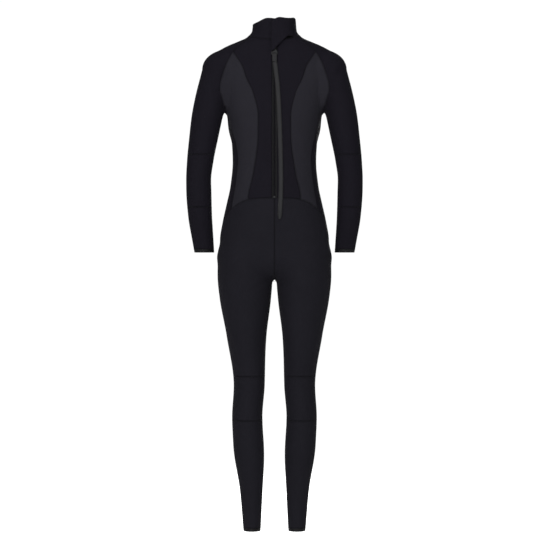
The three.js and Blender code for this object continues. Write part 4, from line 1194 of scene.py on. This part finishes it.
class WETSUIT_OT_stage(bpy.types.Operator):
    """A pale floor, soft lights and a camera straight behind the wearer"""

    bl_idname = "wetsuit.stage"
    bl_label = "Stage"

    def execute(self, context):
        scene = context.scene
        scene.view_settings.view_transform = "Standard"
        scene.view_settings.look = "None"
        camera = bpy.data.objects.new("camera", bpy.data.cameras.new("camera"))
        camera.data.sensor_width = SENSOR_WIDTH
        camera.data.lens = SENSOR_WIDTH * VIEW_DISTANCE / VIEW_WIDTH
        camera.location = (0.0015, VIEW_PLANE - VIEW_DISTANCE, -0.643)
        camera.rotation_euler = (math.radians(90), 0, 0)
        camera.data.clip_end = 60
        scene.collection.objects.link(camera)
        scene.camera = camera

        bm = bmesh.new()
        bmesh.ops.create_circle(bm, cap_ends=True, segments=96, radius=14)
        mesh = bpy.data.meshes.new("floor")
        bm.to_mesh(mesh)
        bm.free()
        floor = bpy.data.objects.new("floor", mesh)
        floor.location = (0, 0, FLOOR_HEIGHT)
        paint = bpy.data.materials.new("matt white floor paint")
        paint.use_nodes = True
        tree = paint.node_tree
        tree.nodes.clear()
        grain = noise(tree, add(tree, "ShaderNodeTexCoord").outputs["Object"], 40)
        shade = tinted(tree, (0.9, 0.9, 0.9), 0.98, 1.0, grain)
        seen = add(tree, "ShaderNodeLightPath").outputs["Is Camera Ray"]
        glow = calc(tree, "MULTIPLY_ADD", seen, 0.95, 0.06)
        inputs = {"Base Color": shade, "Roughness": 0.9, "Emission Color": (1, 1, 1, 1),
                  "Emission Strength": glow}
        shader = add(tree, "ShaderNodeBsdfPrincipled", inputs)
        add(tree, "ShaderNodeOutputMaterial", {"Surface": shader.outputs[0]})
        mesh.materials.append(paint)
        scene.collection.objects.link(floor)

        world = bpy.data.worlds.new("studio")
        world.use_nodes = True
        tree = world.node_tree
        tree.nodes.clear()
        seen = add(tree, "ShaderNodeLightPath").outputs["Is Camera Ray"]
        strength = calc(tree, "MULTIPLY_ADD", seen, 1.02 - WORLD_LIGHT, WORLD_LIGHT)
        surround = add(tree, "ShaderNodeBackground", {"Color": (1, 1, 1, 1), "Strength": strength})
        add(tree, "ShaderNodeOutputWorld", {"Surface": surround.outputs[0]})
        scene.world = world

        for name, place, size, power in SOFTBOXES:
            light = bpy.data.lights.new(name, "AREA")
            light.shape = "RECTANGLE"
            light.size, light.size_y = size
            light.energy = power
            lamp = bpy.data.objects.new(name, light)
            lamp.location = place
            lamp.rotation_mode = "QUATERNION"
            lamp.rotation_quaternion = (Vector(place) - Vector((0, 0.05, -0.65))).to_track_quat("Z", "Y")
            scene.collection.objects.link(lamp)
        return {"FINISHED"}


# Name, place, width and height, power in watts.
SOFTBOXES = [
    ("softbox_key", (-0.9, -5.2, 1.0), (2.2, 2.2), 185),
    ("softbox_left", (-2.4, -2.8, 0.6), (1.2, 2.4), 13),
    ("softbox_right", (2.4, -2.6, 0.4), (1.2, 2.4), 13),
    ("softbox_top", (0.0, -0.8, 2.4), (2.4, 1.6), 24),
    ("softbox_front", (0.6, 4.6, 0.8), (2.4, 2.4), 150),
]


# ---------------------------------------------------------------- the neoprene


class WETSUIT_OT_torso(bpy.types.Operator):
    """The back, contour, side and front panels"""

    bl_idname = "wetsuit.torso"
    bl_label = "Torso panels"

    def execute(self, context):
        t = TORSO_THICKNESS
        both("back_panel", [(back_centre(), ALL_SEWN)], t, JERSEY, "suit", "jersey_neoprene")
        both("back_contour", [(contour(BACK), ALL_SEWN)], t, CHARCOAL, "suit", "charcoal_neoprene")
        both("side_panel", [(side_grid(), ALL_SEWN)], t, JERSEY, "suit", "jersey_neoprene")
        both("front_contour", [(contour(FRONT), ALL_SEWN)], t, CHARCOAL, "suit", "charcoal_neoprene")
        cloth("cloth_front_panel", [(front_centre(), ALL_SEWN)], t, JERSEY, "suit", ["front_panel"],
              "jersey_neoprene")
        return {"FINISHED"}


def below(limb, low, high):
    """The frame's points at a ring panel's top and bottom seams."""
    _, y = heart(limb, np.array([(low + high) / 2]))
    return [tuple(in_frame((0, y[0], z))) for z in (high, low)]


class WETSUIT_OT_sleeves(bpy.types.Operator):
    """The sleeves, elbow panels and forearms"""

    bl_idname = "wetsuit.sleeves"
    bl_label = "Sleeves"

    def execute(self, context):
        t = LIMB_THICKNESS
        both("upper_sleeve", sleeve(), t, JERSEY, "suit", "jersey_neoprene")
        elbow = ring("arm", ELBOW_BOTTOM, ELBOW_TOP, ROUND, 5 * FINE)
        both("elbow_panel", [(elbow, ALL_SEWN)], t, JERSEY, "suit", "jersey_neoprene",
             bend=("suit", "forearm_{}", *below("arm", ELBOW_BOTTOM, ELBOW_TOP)))
        forearm = ring("arm", CUFF_TOP, ELBOW_BOTTOM, ROUND, 5 * FINE)
        both("forearm_sleeve", [(forearm, ALL_SEWN)], t, JERSEY, "forearm_{}", "jersey_neoprene")
        return {"FINISHED"}


class WETSUIT_OT_legs(bpy.types.Operator):
    """The seat, thighs, knees and calves"""

    bl_idname = "wetsuit.legs"
    bl_label = "Legs"

    def execute(self, context):
        t = LIMB_THICKNESS
        both("thigh_back", [(thigh(BACK), ALL_SEWN)], t, LEGS, "suit", "leg_neoprene")
        both("thigh_front", [(thigh(FRONT), ALL_SEWN)], t, LEGS, "suit", "leg_neoprene")
        knee = ring("leg", KNEE_BOTTOM, KNEE_TOP, ROUND, 5 * FINE)
        both("knee_panel", [(knee, ALL_SEWN)], t, LEGS, "suit", "leg_neoprene",
             bend=("suit", "lower_leg_{}", *below("leg", KNEE_BOTTOM, KNEE_TOP)))
        calf = ring("leg", HEM_HEIGHT, KNEE_BOTTOM, ROUND, 8 * FINE)
        both("calf_panel", [(calf, ALL_SEWN)], t, LEGS, "lower_leg_{}", "leg_neoprene")
        return {"FINISHED"}


RUBBER = ["rubber print, moulded"]


class WETSUIT_OT_hems(bpy.types.Operator):
    """Rubber hem tapes at the wrists and ankles, each with a raised edge"""

    bl_idname = "wetsuit.hems"
    bl_label = "Hems"

    def execute(self, context):
        for name, limb, low, high, body in (("wrist_hem", "arm", WRIST, CUFF_TOP, "forearm_{}"),
                                            ("ankle_hem", "leg", 0.0, HEM_HEIGHT, "lower_leg_{}")):
            grid = ring(limb, low + 0.02, high - 0.1, ROUND, 4 * FINE)
            rib = (lambda low: lambda p: 0.22 * np.exp(-(((p[..., 2] - low - 2.6) / 1.0) ** 2))
                   + 0.16 * np.exp(-(((p[..., 2] - low - 6.2) / 0.8) ** 2)))(low)
            both(name, [(grid, (True, True, False, False))], LIMB_THICKNESS, RUBBER, body, "pad_rubber",
                 level=True, lift=rib, sheet=False)
        return {"FINISHED"}


class WETSUIT_OT_knee_pads(bpy.types.Operator):
    """Rubber pads printed over the knees, with curved ribs"""

    bl_idname = "wetsuit.knee_pads"
    bl_label = "Knee pads"

    def execute(self, context):
        pitch = context.scene.wetsuit_sizes.pad_pitch / MM
        low, high = KNEE_BOTTOM + KNEE_PAD_MARGIN, KNEE_TOP - KNEE_PAD_MARGIN
        spread = math.radians(62)
        grid = ring("leg", low, high, 26 * FINE, 24 * FINE, math.pi / 2 - spread, math.pi / 2 + spread)
        # An oval outline: the corners of the grid are drawn in towards the middle.
        u = np.linspace(-1, 1, grid.shape[1])[None, :]
        v = np.linspace(-1, 1, grid.shape[0])[:, None]
        angle = math.pi / 2 + spread * u * np.sqrt(1 - 0.36 * v * v) * 0.985
        z = (low + high) / 2 + (high - low) / 2 * v * np.sqrt(1 - 0.3 * u * u) * 0.985
        grid = cast("leg", angle, z)
        centre = heart("leg", np.array([(low + high) / 2]))[0][0]

        def ribs(p):
            bow = p[..., 2] + 0.006 * (p[..., 0] - centre) ** 2
            wave = np.abs(((bow / pitch) % 1) - 0.5) * 2
            return KNEE_PAD_GAP + 0.45 + 0.55 * smooth(wave, 0.25, 0.6)

        both("knee_pad", [(grid, ALL_SEWN)], 0.7, RUBBER, "suit", "pad_rubber", lift=ribs, sheet=False,
             bend=("suit", "lower_leg_{}", *below("leg", KNEE_BOTTOM, KNEE_TOP)))
        return {"FINISHED"}


THREAD = ["nylon thread, bonded"]


class WETSUIT_OT_seams(bpy.types.Operator):
    """Zigzag stitching over the seams between panels"""

    bl_idname = "wetsuit.seams"
    bl_label = "Seam stitching"

    def execute(self, context):
        sizes = context.scene.wetsuit_sizes
        step, width, radius = (v / MM for v in (sizes.stitch_length, sizes.stitch_width, sizes.thread_radius))

        def sew(name, body, once, twice):
            bm = bmesh.new()
            paths = [(p, False) for p in once + twice] + [(p, True) for p in twice]
            for path, mirror in paths:
                n = normals_at(path)
                path = path + n * relief(path, n, sizes.fold_strength)[:, None]
                if mirror:
                    path, n = path * MIRROR, n * MIRROR
                thread(bm, path, n, step, width, radius)
            closed(bm)
            finished(bm, name, THREAD, body)

        def loop(limb, z):
            return ring(limb, z, z, ROUND, 1)[0]

        twice = []
        for side in (BACK, FRONT):
            seam = seams[side]
            twice += [joined(seam["lower"], seam["upper"]), seam["inner"], seam["flank"], hip_line(side)[1:]]
            if side == BACK:
                fork = (side * np.pi, rising_seam(side)[0, 2])
                twice.append(limb_line("leg", (side * np.pi, KNEE_TOP), fork, INSEAM_LINE))
        half, front, _ = neckline()
        pit = underarm[SIDE // 2]
        head = (angle_of("arm", pit) - 2 * np.pi, pit[2])
        sleeve_line = limb_line("arm", (-np.pi, ELBOW_TOP), head, SLEEVE_LINE)
        twice += [underarm, half, sleeve_line, outer_line(), loop("arm", ELBOW_TOP), loop("leg", KNEE_TOP)]
        sew("stitching_suit", "suit", [rising_seam(BACK), rising_seam(FRONT), front], twice)
        for hand, mirror in (("right", 1), ("left", -1)):
            for body, limb, low, high in ((f"forearm_{hand}", "arm", CUFF_TOP, ELBOW_BOTTOM),
                                          (f"lower_leg_{hand}", "leg", HEM_HEIGHT, KNEE_BOTTOM)):
                line = limb_line(limb, (-np.pi, low), (-np.pi, high), 8 * FINE)
                paths = [p * np.array([mirror, 1.0, 1.0]) for p in (loop(limb, low), loop(limb, high), line)]
                sew(f"stitching_{body}", body, paths, [])
        return {"FINISHED"}


# ---------------------------------------------------------------- the collar

ROOT = 3 * FINE  # the neckline's sample where the tab is sewn on
UNDERLAP = FINE  # and how far the collar's left end reaches under the tab


class WETSUIT_OT_collar(bpy.types.Operator):
    """The stand-up collar, whose left end reaches under the tab"""

    bl_idname = "wetsuit.collar"
    bl_label = "Collar"

    def execute(self, context):
        half, front, left = neckline()
        foot = joined(half[ROOT:], front, left, half[: UNDERLAP + 1])
        angle = angle_of("torso", foot)
        # The top edge is lower at the sides of the neck and at the throat, and lowest on the left.
        _, heart_y = heart("torso", foot[:, 2])
        turn = np.degrees(np.arctan2(foot[:, 0], heart_y - foot[:, 1]))
        low = 0.2 * smooth(turn, 40, 105) + 0.42 * smooth(-turn, 20, 82) - 0.22 * smooth(-turn, 110, 175)
        rows = []
        for t in steps(5 * FINE):
            wave = np.sin(3 * angle + 0.6) - 0.4 * np.cos(5 * angle)
            tall = COLLAR_HEIGHT * t * (1 + 0.035 * t * t * wave)
            tall *= 1 - t * low
            rows.append(foot if t == 0 else cast("torso", angle, foot[:, 2] + tall))
        grid = np.array(rows)

        def stand(p):
            """The collar eases out towards its top edge, in soft waves."""
            up = smooth((p[..., 2] - NAPE) / COLLAR_HEIGHT)
            a = np.arctan2(p[..., 1] + 10, p[..., 0])
            behind = smooth(-p[..., 1], 10, 40) * smooth(np.abs(p[..., 0] - 8), 62, 40)
            return up * (0.6 + 0.7 * np.sin(4 * a + 1.0) + 0.25 * np.sin(7 * a)) * (1 - 0.8 * behind)

        cloth("cloth_collar_band", [(grid, ALL_SEWN)], COLLAR_THICKNESS, JERSEY, "suit", ["collar_band"],
              "jersey_neoprene", lift=stand)
        return {"FINISHED"}


TAB_ROOT_X = 50.47
UNDERLAP_X = 21.02
TAB_STACK = 2 * PATCH_THICKNESS + 3 * PATCH_GAP
TAB_BULGE = 4.4  # over the zip's slider


def over_back(columns, rows, from_x, to_x, low, high):
    """A grid of points over the back of the neck between two x, whose low and high edges follow u."""
    u, t = np.meshgrid(steps(columns), steps(rows))
    return drawn_points(mix(from_x, to_x, u), mix(low(u), high(u), t), BACK)


def tab_lift(p):
    inboard = TAB_ROOT_X - p[..., 0]
    lift = TAB_THICKNESS + mix(PATCH_GAP, TAB_STACK, smooth(inboard, 0, 14))
    return lift + TAB_BULGE * smooth(inboard, 8, 28) * smooth(NAPE + 6 - p[..., 2], 0, 18)


class WETSUIT_OT_tab(bpy.types.Operator):
    """The tab that closes the collar, and its hook and loop patches"""

    bl_idname = "wetsuit.tab"
    bl_label = "Collar tab"

    def execute(self, context):
        def low(u):
            wave = 1.6 * np.sin(u * 9.5 + 0.6) * smooth(u, 0.05, 0.3) * smooth(1 - u, 0.0, 0.25)
            return mix(NAPE + 8, NAPE - TAB_DROP, smooth(u, 0.2, 1)) + wave

        def high(u):
            return NAPE + COLLAR_HEIGHT + TAB_RISE - 5.5 * smooth(u, 0.62, 1.0) - 1.5 * np.sin(u * 5) ** 2

        grid = over_back(10 * FINE, 10 * FINE, TAB_ROOT_X, -TAB_REACH, low, high)

        def curl(p):
            """The loose edge stands off a little, and the tab is creased where it folds over the slider."""
            loose = smooth(-p[..., 0], -16, 9)
            foot = smooth(NAPE + 4 - p[..., 2], 0, 30)
            ridge = 0.9 * np.exp(-(((p[..., 2] - NAPE - 4 + 0.45 * (p[..., 0] - 20)) / 7) ** 2))
            dent = -0.3 * np.exp(-(((p[..., 2] - NAPE - 26 + 0.2 * p[..., 0]) / 11) ** 2))
            dent *= smooth(p[..., 0], 24, 44)
            return tab_lift(p) + 1.1 * loose * foot + ridge + dent

        cloth("cloth_collar_tab", [(grid, ALL_SEWN)], TAB_THICKNESS, JERSEY, "tab", ["collar_tab"],
              "jersey_neoprene", lift=curl)
        start = UNDERLAP_X - PATCH_INSET
        foot = NAPE + PATCH_RISE
        patch = over_back(5 * FINE, 6 * FINE, start, start - PATCH_WIDTH, lambda u: foot + 0 * u,
                          lambda u: foot + PATCH_HEIGHT + 0 * u)
        once = PATCH_THICKNESS + PATCH_GAP
        for name, body, out, pitch, tall, slot in (("loop_patch", "suit", once, 1.9, 0.18, "zip_tape"),
                                                   ("hook_patch", "tab", 2 * once, 1.5, 0.12, "zip_plastic")):
            def pile(p, out=out, pitch=pitch, tall=tall):
                turn = 2 * np.pi / pitch
                return out - tall + tall * np.sin(p[..., 0] * turn) * np.sin(p[..., 2] * turn)

            cloth(f"fastening_{name}", [(patch, ALL_SEWN)], PATCH_THICKNESS - 2 * tall,
                  ["hook and loop, woven"], body, [name], slot, lift=pile, sheet=False)
        return {"FINISHED"}


# ---------------------------------------------------------------- the zip

TEETH_WIDTH, TEETH_SPLIT, TEETH_THICKNESS = 7.0, 1.4, 2.8
TAPE_WIDTH, TAPE_THICKNESS = 17.0, 1.0
ZIP_CLEARANCE, STOP_LENGTH, STOP_INSET = 0.3, 5.0, 0.5
SLIDER_PLATE = 1.6
BAIL_OPENING = 3.0
FLAP_WIDTH, FLAP_THICKNESS = 70.0, 2.0
TOOTH_WIDTH, TOOTH_X = (TEETH_WIDTH - TEETH_SPLIT) / 2, (TEETH_WIDTH + TEETH_SPLIT) / 4
TAPE_FACE = TORSO_THICKNESS + ZIP_CLEARANCE
TEETH_MIDDLE = TAPE_FACE + TAPE_THICKNESS / 2
TEETH_FACE = TEETH_MIDDLE - TEETH_THICKNESS / 2
PLATE_FACE = TEETH_FACE - ZIP_CLEARANCE - SLIDER_PLATE
PLATE_BACK = TEETH_MIDDLE + TEETH_THICKNESS / 2 + ZIP_CLEARANCE + SLIDER_PLATE
TAPE_INNER = TEETH_WIDTH / 2 + ZIP_CLEARANCE
ROW_TOP = -STOP_INSET - STOP_LENGTH - ZIP_CLEARANCE
ROW_FOOT = -ZIP_LENGTH + STOP_INSET + STOP_LENGTH + ZIP_CLEARANCE


class WETSUIT_OT_zip(bpy.types.Operator):
    """The zip's tapes, teeth and stops, and the flap behind it"""

    bl_idname = "wetsuit.zip"
    bl_label = "Zip"

    def execute(self, context):
        pitch = context.scene.wetsuit_sizes.tooth_pitch / MM
        heights = np.linspace(hip_height(0) + 0.3, NAPE - 1, 30 * FINE)
        for hand, mirror in (("right", False), ("left", True)):
            sign = -1 if mirror else 1
            bm = bmesh.new()
            uv_layer = bm.loops.layers.uv.new("UVMap")
            x, z = np.meshgrid(np.linspace(TAPE_INNER, TAPE_INNER + TAPE_WIDTH, 9), heights)
            grid = drawn_points(x, z, BACK)
            bead = 0.16 * np.exp(-(((x - TAPE_INNER - 1.2) / 0.7) ** 2))
            points = grid - normals_at(grid) * (TAPE_FACE - bead)[..., None]
            points = in_frame(points * np.array([sign, 1.0, 1.0]))
            lattice(bm, points, uv_layer, flat_uv(points))
            bm.normal_update()
            if sum(f.normal.y for f in bm.faces) > 0:
                bmesh.ops.reverse_faces(bm, faces=bm.faces[:])
            every = bm.verts[:] + bm.edges[:] + bm.faces[:]
            bmesh.ops.solidify(bm, geom=every, thickness=TAPE_THICKNESS * MM)
            piece = finished(bm, f"zip_tape_woven_{hand}", ["polyester zip tape, woven"], "suit",
                             [f"zip_tape_{hand}"], "zip_tape")
            width, length, area = flat_size([points])

            bm = bmesh.new()
            count = int((ROW_TOP - ROW_FOOT) / pitch)
            offset = 0.25 if mirror else 0.75
            for i in range(count):
                at = ROW_FOOT + (i + offset) * (ROW_TOP - ROW_FOOT) / count
                # Each tooth has a head, and a narrower foot that grips the tape.
                for wide, tall, deep, x in ((TOOTH_WIDTH, pitch * 0.56, TEETH_THICKNESS, TOOTH_X),
                                            (1.5, pitch * 0.4, 1.9, TEETH_WIDTH / 2 + 0.55)):
                    place = ZIP_PLACE @ Matrix.Translation((sign * x, TEETH_MIDDLE, at))
                    bmesh.ops.create_cube(bm, size=1, matrix=place @ Matrix.Diagonal((wide, deep, tall, 1)))
            bmesh.ops.bevel(bm, geom=bm.edges[:], offset=0.32 * MM, segments=1, affect="EDGES", profile=0.5,
                            material=-1, clamp_overlap=True)
            finished(bm, f"zip_teeth_moulded_{hand}", ["acetal, moulded"], "suit", [f"zip_teeth_{hand}"],
                     "zip_plastic")
            refined(f"zip_top_stop_crimped_{hand}", f"zip_top_stop_{hand}", "zinc, enamelled", "suit",
                    "zip_metal", 0.5)
        refined("zip_bottom_stop_crimped", "zip_bottom_stop", "zinc, enamelled", "suit", "zip_metal", 0.6)

        x, z = np.meshgrid(np.linspace(-FLAP_WIDTH / 2, FLAP_WIDTH / 2, 6 * FINE), heights)
        grid = drawn_points(x, z, BACK)
        cloth("cloth_zip_flap", [(grid, ALL_SEWN)], FLAP_THICKNESS, JERSEY, "suit", ["zip_flap"],
              "jersey_neoprene", lift=lambda p: -PLATE_BACK - ZIP_CLEARANCE + 0 * p[..., 0])
        return {"FINISHED"}


class WETSUIT_OT_slider(bpy.types.Operator):
    """The zip's slider and its puller"""

    bl_idname = "wetsuit.slider"
    bl_label = "Slider and puller"

    def execute(self, context):
        refined("zip_slider_cast", "zip_slider", "zinc, enamelled", "slider", "zip_metal", 0.3)
        refined("zip_puller_cast", "zip_puller", "zinc, enamelled", "puller", "zip_metal", 0.4)
        return {"FINISHED"}


# ---------------------------------------------------------------- the leash

LEASH_WIDTH, LEASH_THICKNESS, LEASH_END = 12.0, 1.6, 24.0
# Beside the zip, as x and the distance down it.
LEASH_ROUTE = [(0.6, 62.6), (3.6, 85), (8.2, 125), (12.4, 190), (15.2, 270), (17.2, 350), (17.4, 410),
               (15.4, 460), (14, 492)]
PULLER_LEAN = math.radians(7.5)
PULLER_LENGTH, CROSSBAR, LOWER_BAR = 30.0, 1.6, 2.2
BAR_REACH = PULLER_LENGTH - (CROSSBAR + LOWER_BAR) / 2
BAR_Y = PLATE_FACE - BAIL_OPENING / 2 - BAR_REACH * math.sin(PULLER_LEAN)
LEASH_FACE = BAR_Y - LEASH_THICKNESS / 2


def leash_line(count):
    """Even points of the leash's centre line in the zip's frame, and its length."""
    knots = np.array([(x, -down) for x, down in LEASH_ROUTE])
    ends = np.vstack([2 * knots[0] - knots[1], knots, 2 * knots[-1] - knots[-2]])
    dense = []
    for a, b, c, d in zip(ends, ends[1:], ends[2:], ends[3:]):
        gaps = np.sqrt([np.linalg.norm(b - a), np.linalg.norm(c - b), np.linalg.norm(d - c)])
        m1 = (c - b) + gaps[1] * ((b - a) / gaps[0] - (c - a) / (gaps[0] + gaps[1]))
        m2 = (c - b) + gaps[1] * ((d - c) / gaps[2] - (d - b) / (gaps[1] + gaps[2]))
        t = np.linspace(0, 1, 60, endpoint=False)[:, None]
        dense.append((2 * t**3 - 3 * t**2 + 1) * b + (t**3 - 2 * t**2 + t) * m1 + (3 * t**2 - 2 * t**3) * c
                     + (t**3 - t**2) * m2)
    dense = np.vstack(dense + [knots[-1:]])
    run = np.concatenate([[0], np.cumsum(np.linalg.norm(np.diff(dense, axis=0), axis=1))])
    at = np.linspace(0, run[-1], count)
    return np.stack([np.interp(at, run, dense[:, k]) for k in (0, 1)], -1), run[-1]


class WETSUIT_OT_leash(bpy.types.Operator):
    """The webbing leash, its sewn loop and its folded end"""

    bl_idname = "wetsuit.leash"
    bl_label = "Leash"

    def execute(self, context):
        weft = context.scene.wetsuit_sizes.weft_pitch / MM
        _, length = leash_line(10)
        rows = int(length / weft * 4)
        line, _ = leash_line(rows + 1)
        slope = np.gradient(line, axis=0)
        slope /= np.linalg.norm(slope, axis=1, keepdims=True)
        across = np.stack([slope[:, 1], -slope[:, 0]], -1)
        run = np.linspace(0, length, rows + 1)

        def strap(bm, uv_layer, first, face, deep, crown):
            """A closed band with rounded edges and weft ribs, from one row to the end."""
            part = slice(first, None)
            taper = 1 - 0.42 * smooth(run[part], length - 13, length)
            half = LEASH_WIDTH / 2 * taper
            turn = np.linspace(0, 2 * np.pi, 25)
            c, s = np.cos(turn), np.sin(turn)
            x = np.sign(c) * np.abs(c) ** 0.7
            y = np.sign(s) * np.abs(s) ** 0.45
            rib = 0.07 * np.cos(run[part] * 2 * np.pi / weft)
            edge = np.abs(x)[None, :]
            wide = x[None, :] * half[:, None]
            high = (deep / 2 - 0.16 + rib[:, None] * (1 - edge**4)) * y[None, :] * (1 - 0.35 * edge**3)
            high = high + crown * (1 - edge**2)
            p = np.stack([line[part, None, 0] + across[part, None, 0] * wide,
                          face + deep / 2 - high,
                          line[part, None, 1] + across[part, None, 1] * wide], -1)
            p[:, -1] = p[:, 0]
            uv = np.stack([np.broadcast_to(turn / (2 * np.pi) * 0.026, high.shape),
                           np.broadcast_to(run[part, None] * MM, high.shape)], -1)
            # The distance from the selvedge, by which the webbing's finish paints shade on the rounded edges.
            reach = (1 - edge) * half[:, None] * MM
            lattice(bm, along_zip(p), uv_layer, uv, [(bm.verts.layers.float.new("edge"), reach)])
            closed(bm)

        bm = bmesh.new()
        strap(bm, bm.loops.layers.uv.new("UVMap"), 0, LEASH_FACE, LEASH_THICKNESS, 0.1)
        leash = finished(bm, "webbing_leash", ["polyester webbing, woven"], "puller", ["leash"], "webbing")
        bm = bmesh.new()
        first = int(rows * (1 - LEASH_END / length))
        face = LEASH_FACE - LEASH_THICKNESS + 0.12
        strap(bm, bm.loops.layers.uv.new("UVMap"), first, face, LEASH_THICKNESS, 0.1)
        end = finished(bm, "webbing_leash_end", ["polyester webbing, woven"], "puller", ["leash_end"],
                       "webbing")
        loop = refined("webbing_leash_loop", "leash_loop", "polyester webbing, folded", "puller", "webbing",
                       0.35)

        # A box of stitches with a cross holds the folded end.
        bm = bmesh.new()
        centre, (dx, dz) = line[int(rows * (1 - LEASH_END * 0.62 / length))], slope[first]
        corners = [(-3.6, -6), (3.6, -6), (3.6, 6), (-3.6, 6)]
        for a, b in ((0, 1), (1, 2), (2, 3), (3, 0), (0, 2), (1, 3)):
            (xa, za), (xb, zb) = corners[a], corners[b]
            t = steps(8)
            xs, zs = mix(xa, xb, t), mix(za, zb, t)
            p = np.stack([centre[0] + xs * -dz + zs * dx, np.full(9, LEASH_FACE - LEASH_THICKNESS + 0.02),
                          centre[1] + xs * dx + zs * dz], -1)
            p = along_zip(p) / MM + np.array([0, BACK_AT_NAPE, NAPE])
            n = np.tile([0.0, -1.0, 0.0], (9, 1))
            thread(bm, p, n, 2.2, 0.3, 0.24)
        closed(bm)
        stitches = finished(bm, "stitching_leash_end", THREAD, "puller")

        return {"FINISHED"}


# ---------------------------------------------------------------- the add-on

OPERATORS = (WETSUIT_OT_stage, WETSUIT_OT_leash, WETSUIT_OT_torso, WETSUIT_OT_sleeves, WETSUIT_OT_legs,
             WETSUIT_OT_hems, WETSUIT_OT_knee_pads, WETSUIT_OT_seams, WETSUIT_OT_collar, WETSUIT_OT_tab,
             WETSUIT_OT_zip, WETSUIT_OT_slider)


class WETSUIT_PT_panel(bpy.types.Panel):
    """The suit's pieces, in the order that they are made"""

    bl_idname = "WETSUIT_PT_panel"
    bl_label = "Wetsuit"
    bl_space_type = "VIEW_3D"
    bl_region_type = "UI"
    bl_category = "Wetsuit"

    def draw(self, context):
        for group in (context.scene.wetsuit_sizes, context.scene.wetsuit_colours):
            for name in group.__annotations__:
                self.layout.prop(group, name)
        for operator in OPERATORS:
            self.layout.operator(operator.bl_idname)


CLASSES = (WetsuitSizes, WetsuitColours, *OPERATORS, WETSUIT_PT_panel)


def register():
    for cls in CLASSES:
        bpy.utils.register_class(cls)
    bpy.types.Scene.wetsuit_sizes = bpy.props.PointerProperty(type=WetsuitSizes)
    bpy.types.Scene.wetsuit_colours = bpy.props.PointerProperty(type=WetsuitColours)


def unregister():
    del bpy.types.Scene.wetsuit_sizes, bpy.types.Scene.wetsuit_colours
    for cls in reversed(CLASSES):
        bpy.utils.unregister_class(cls)


def main():
    register()
    for operator in OPERATORS:
        group, name = operator.bl_idname.split(".")
        getattr(getattr(bpy.ops, group), name)()


if __name__ == "__main__":
    main()
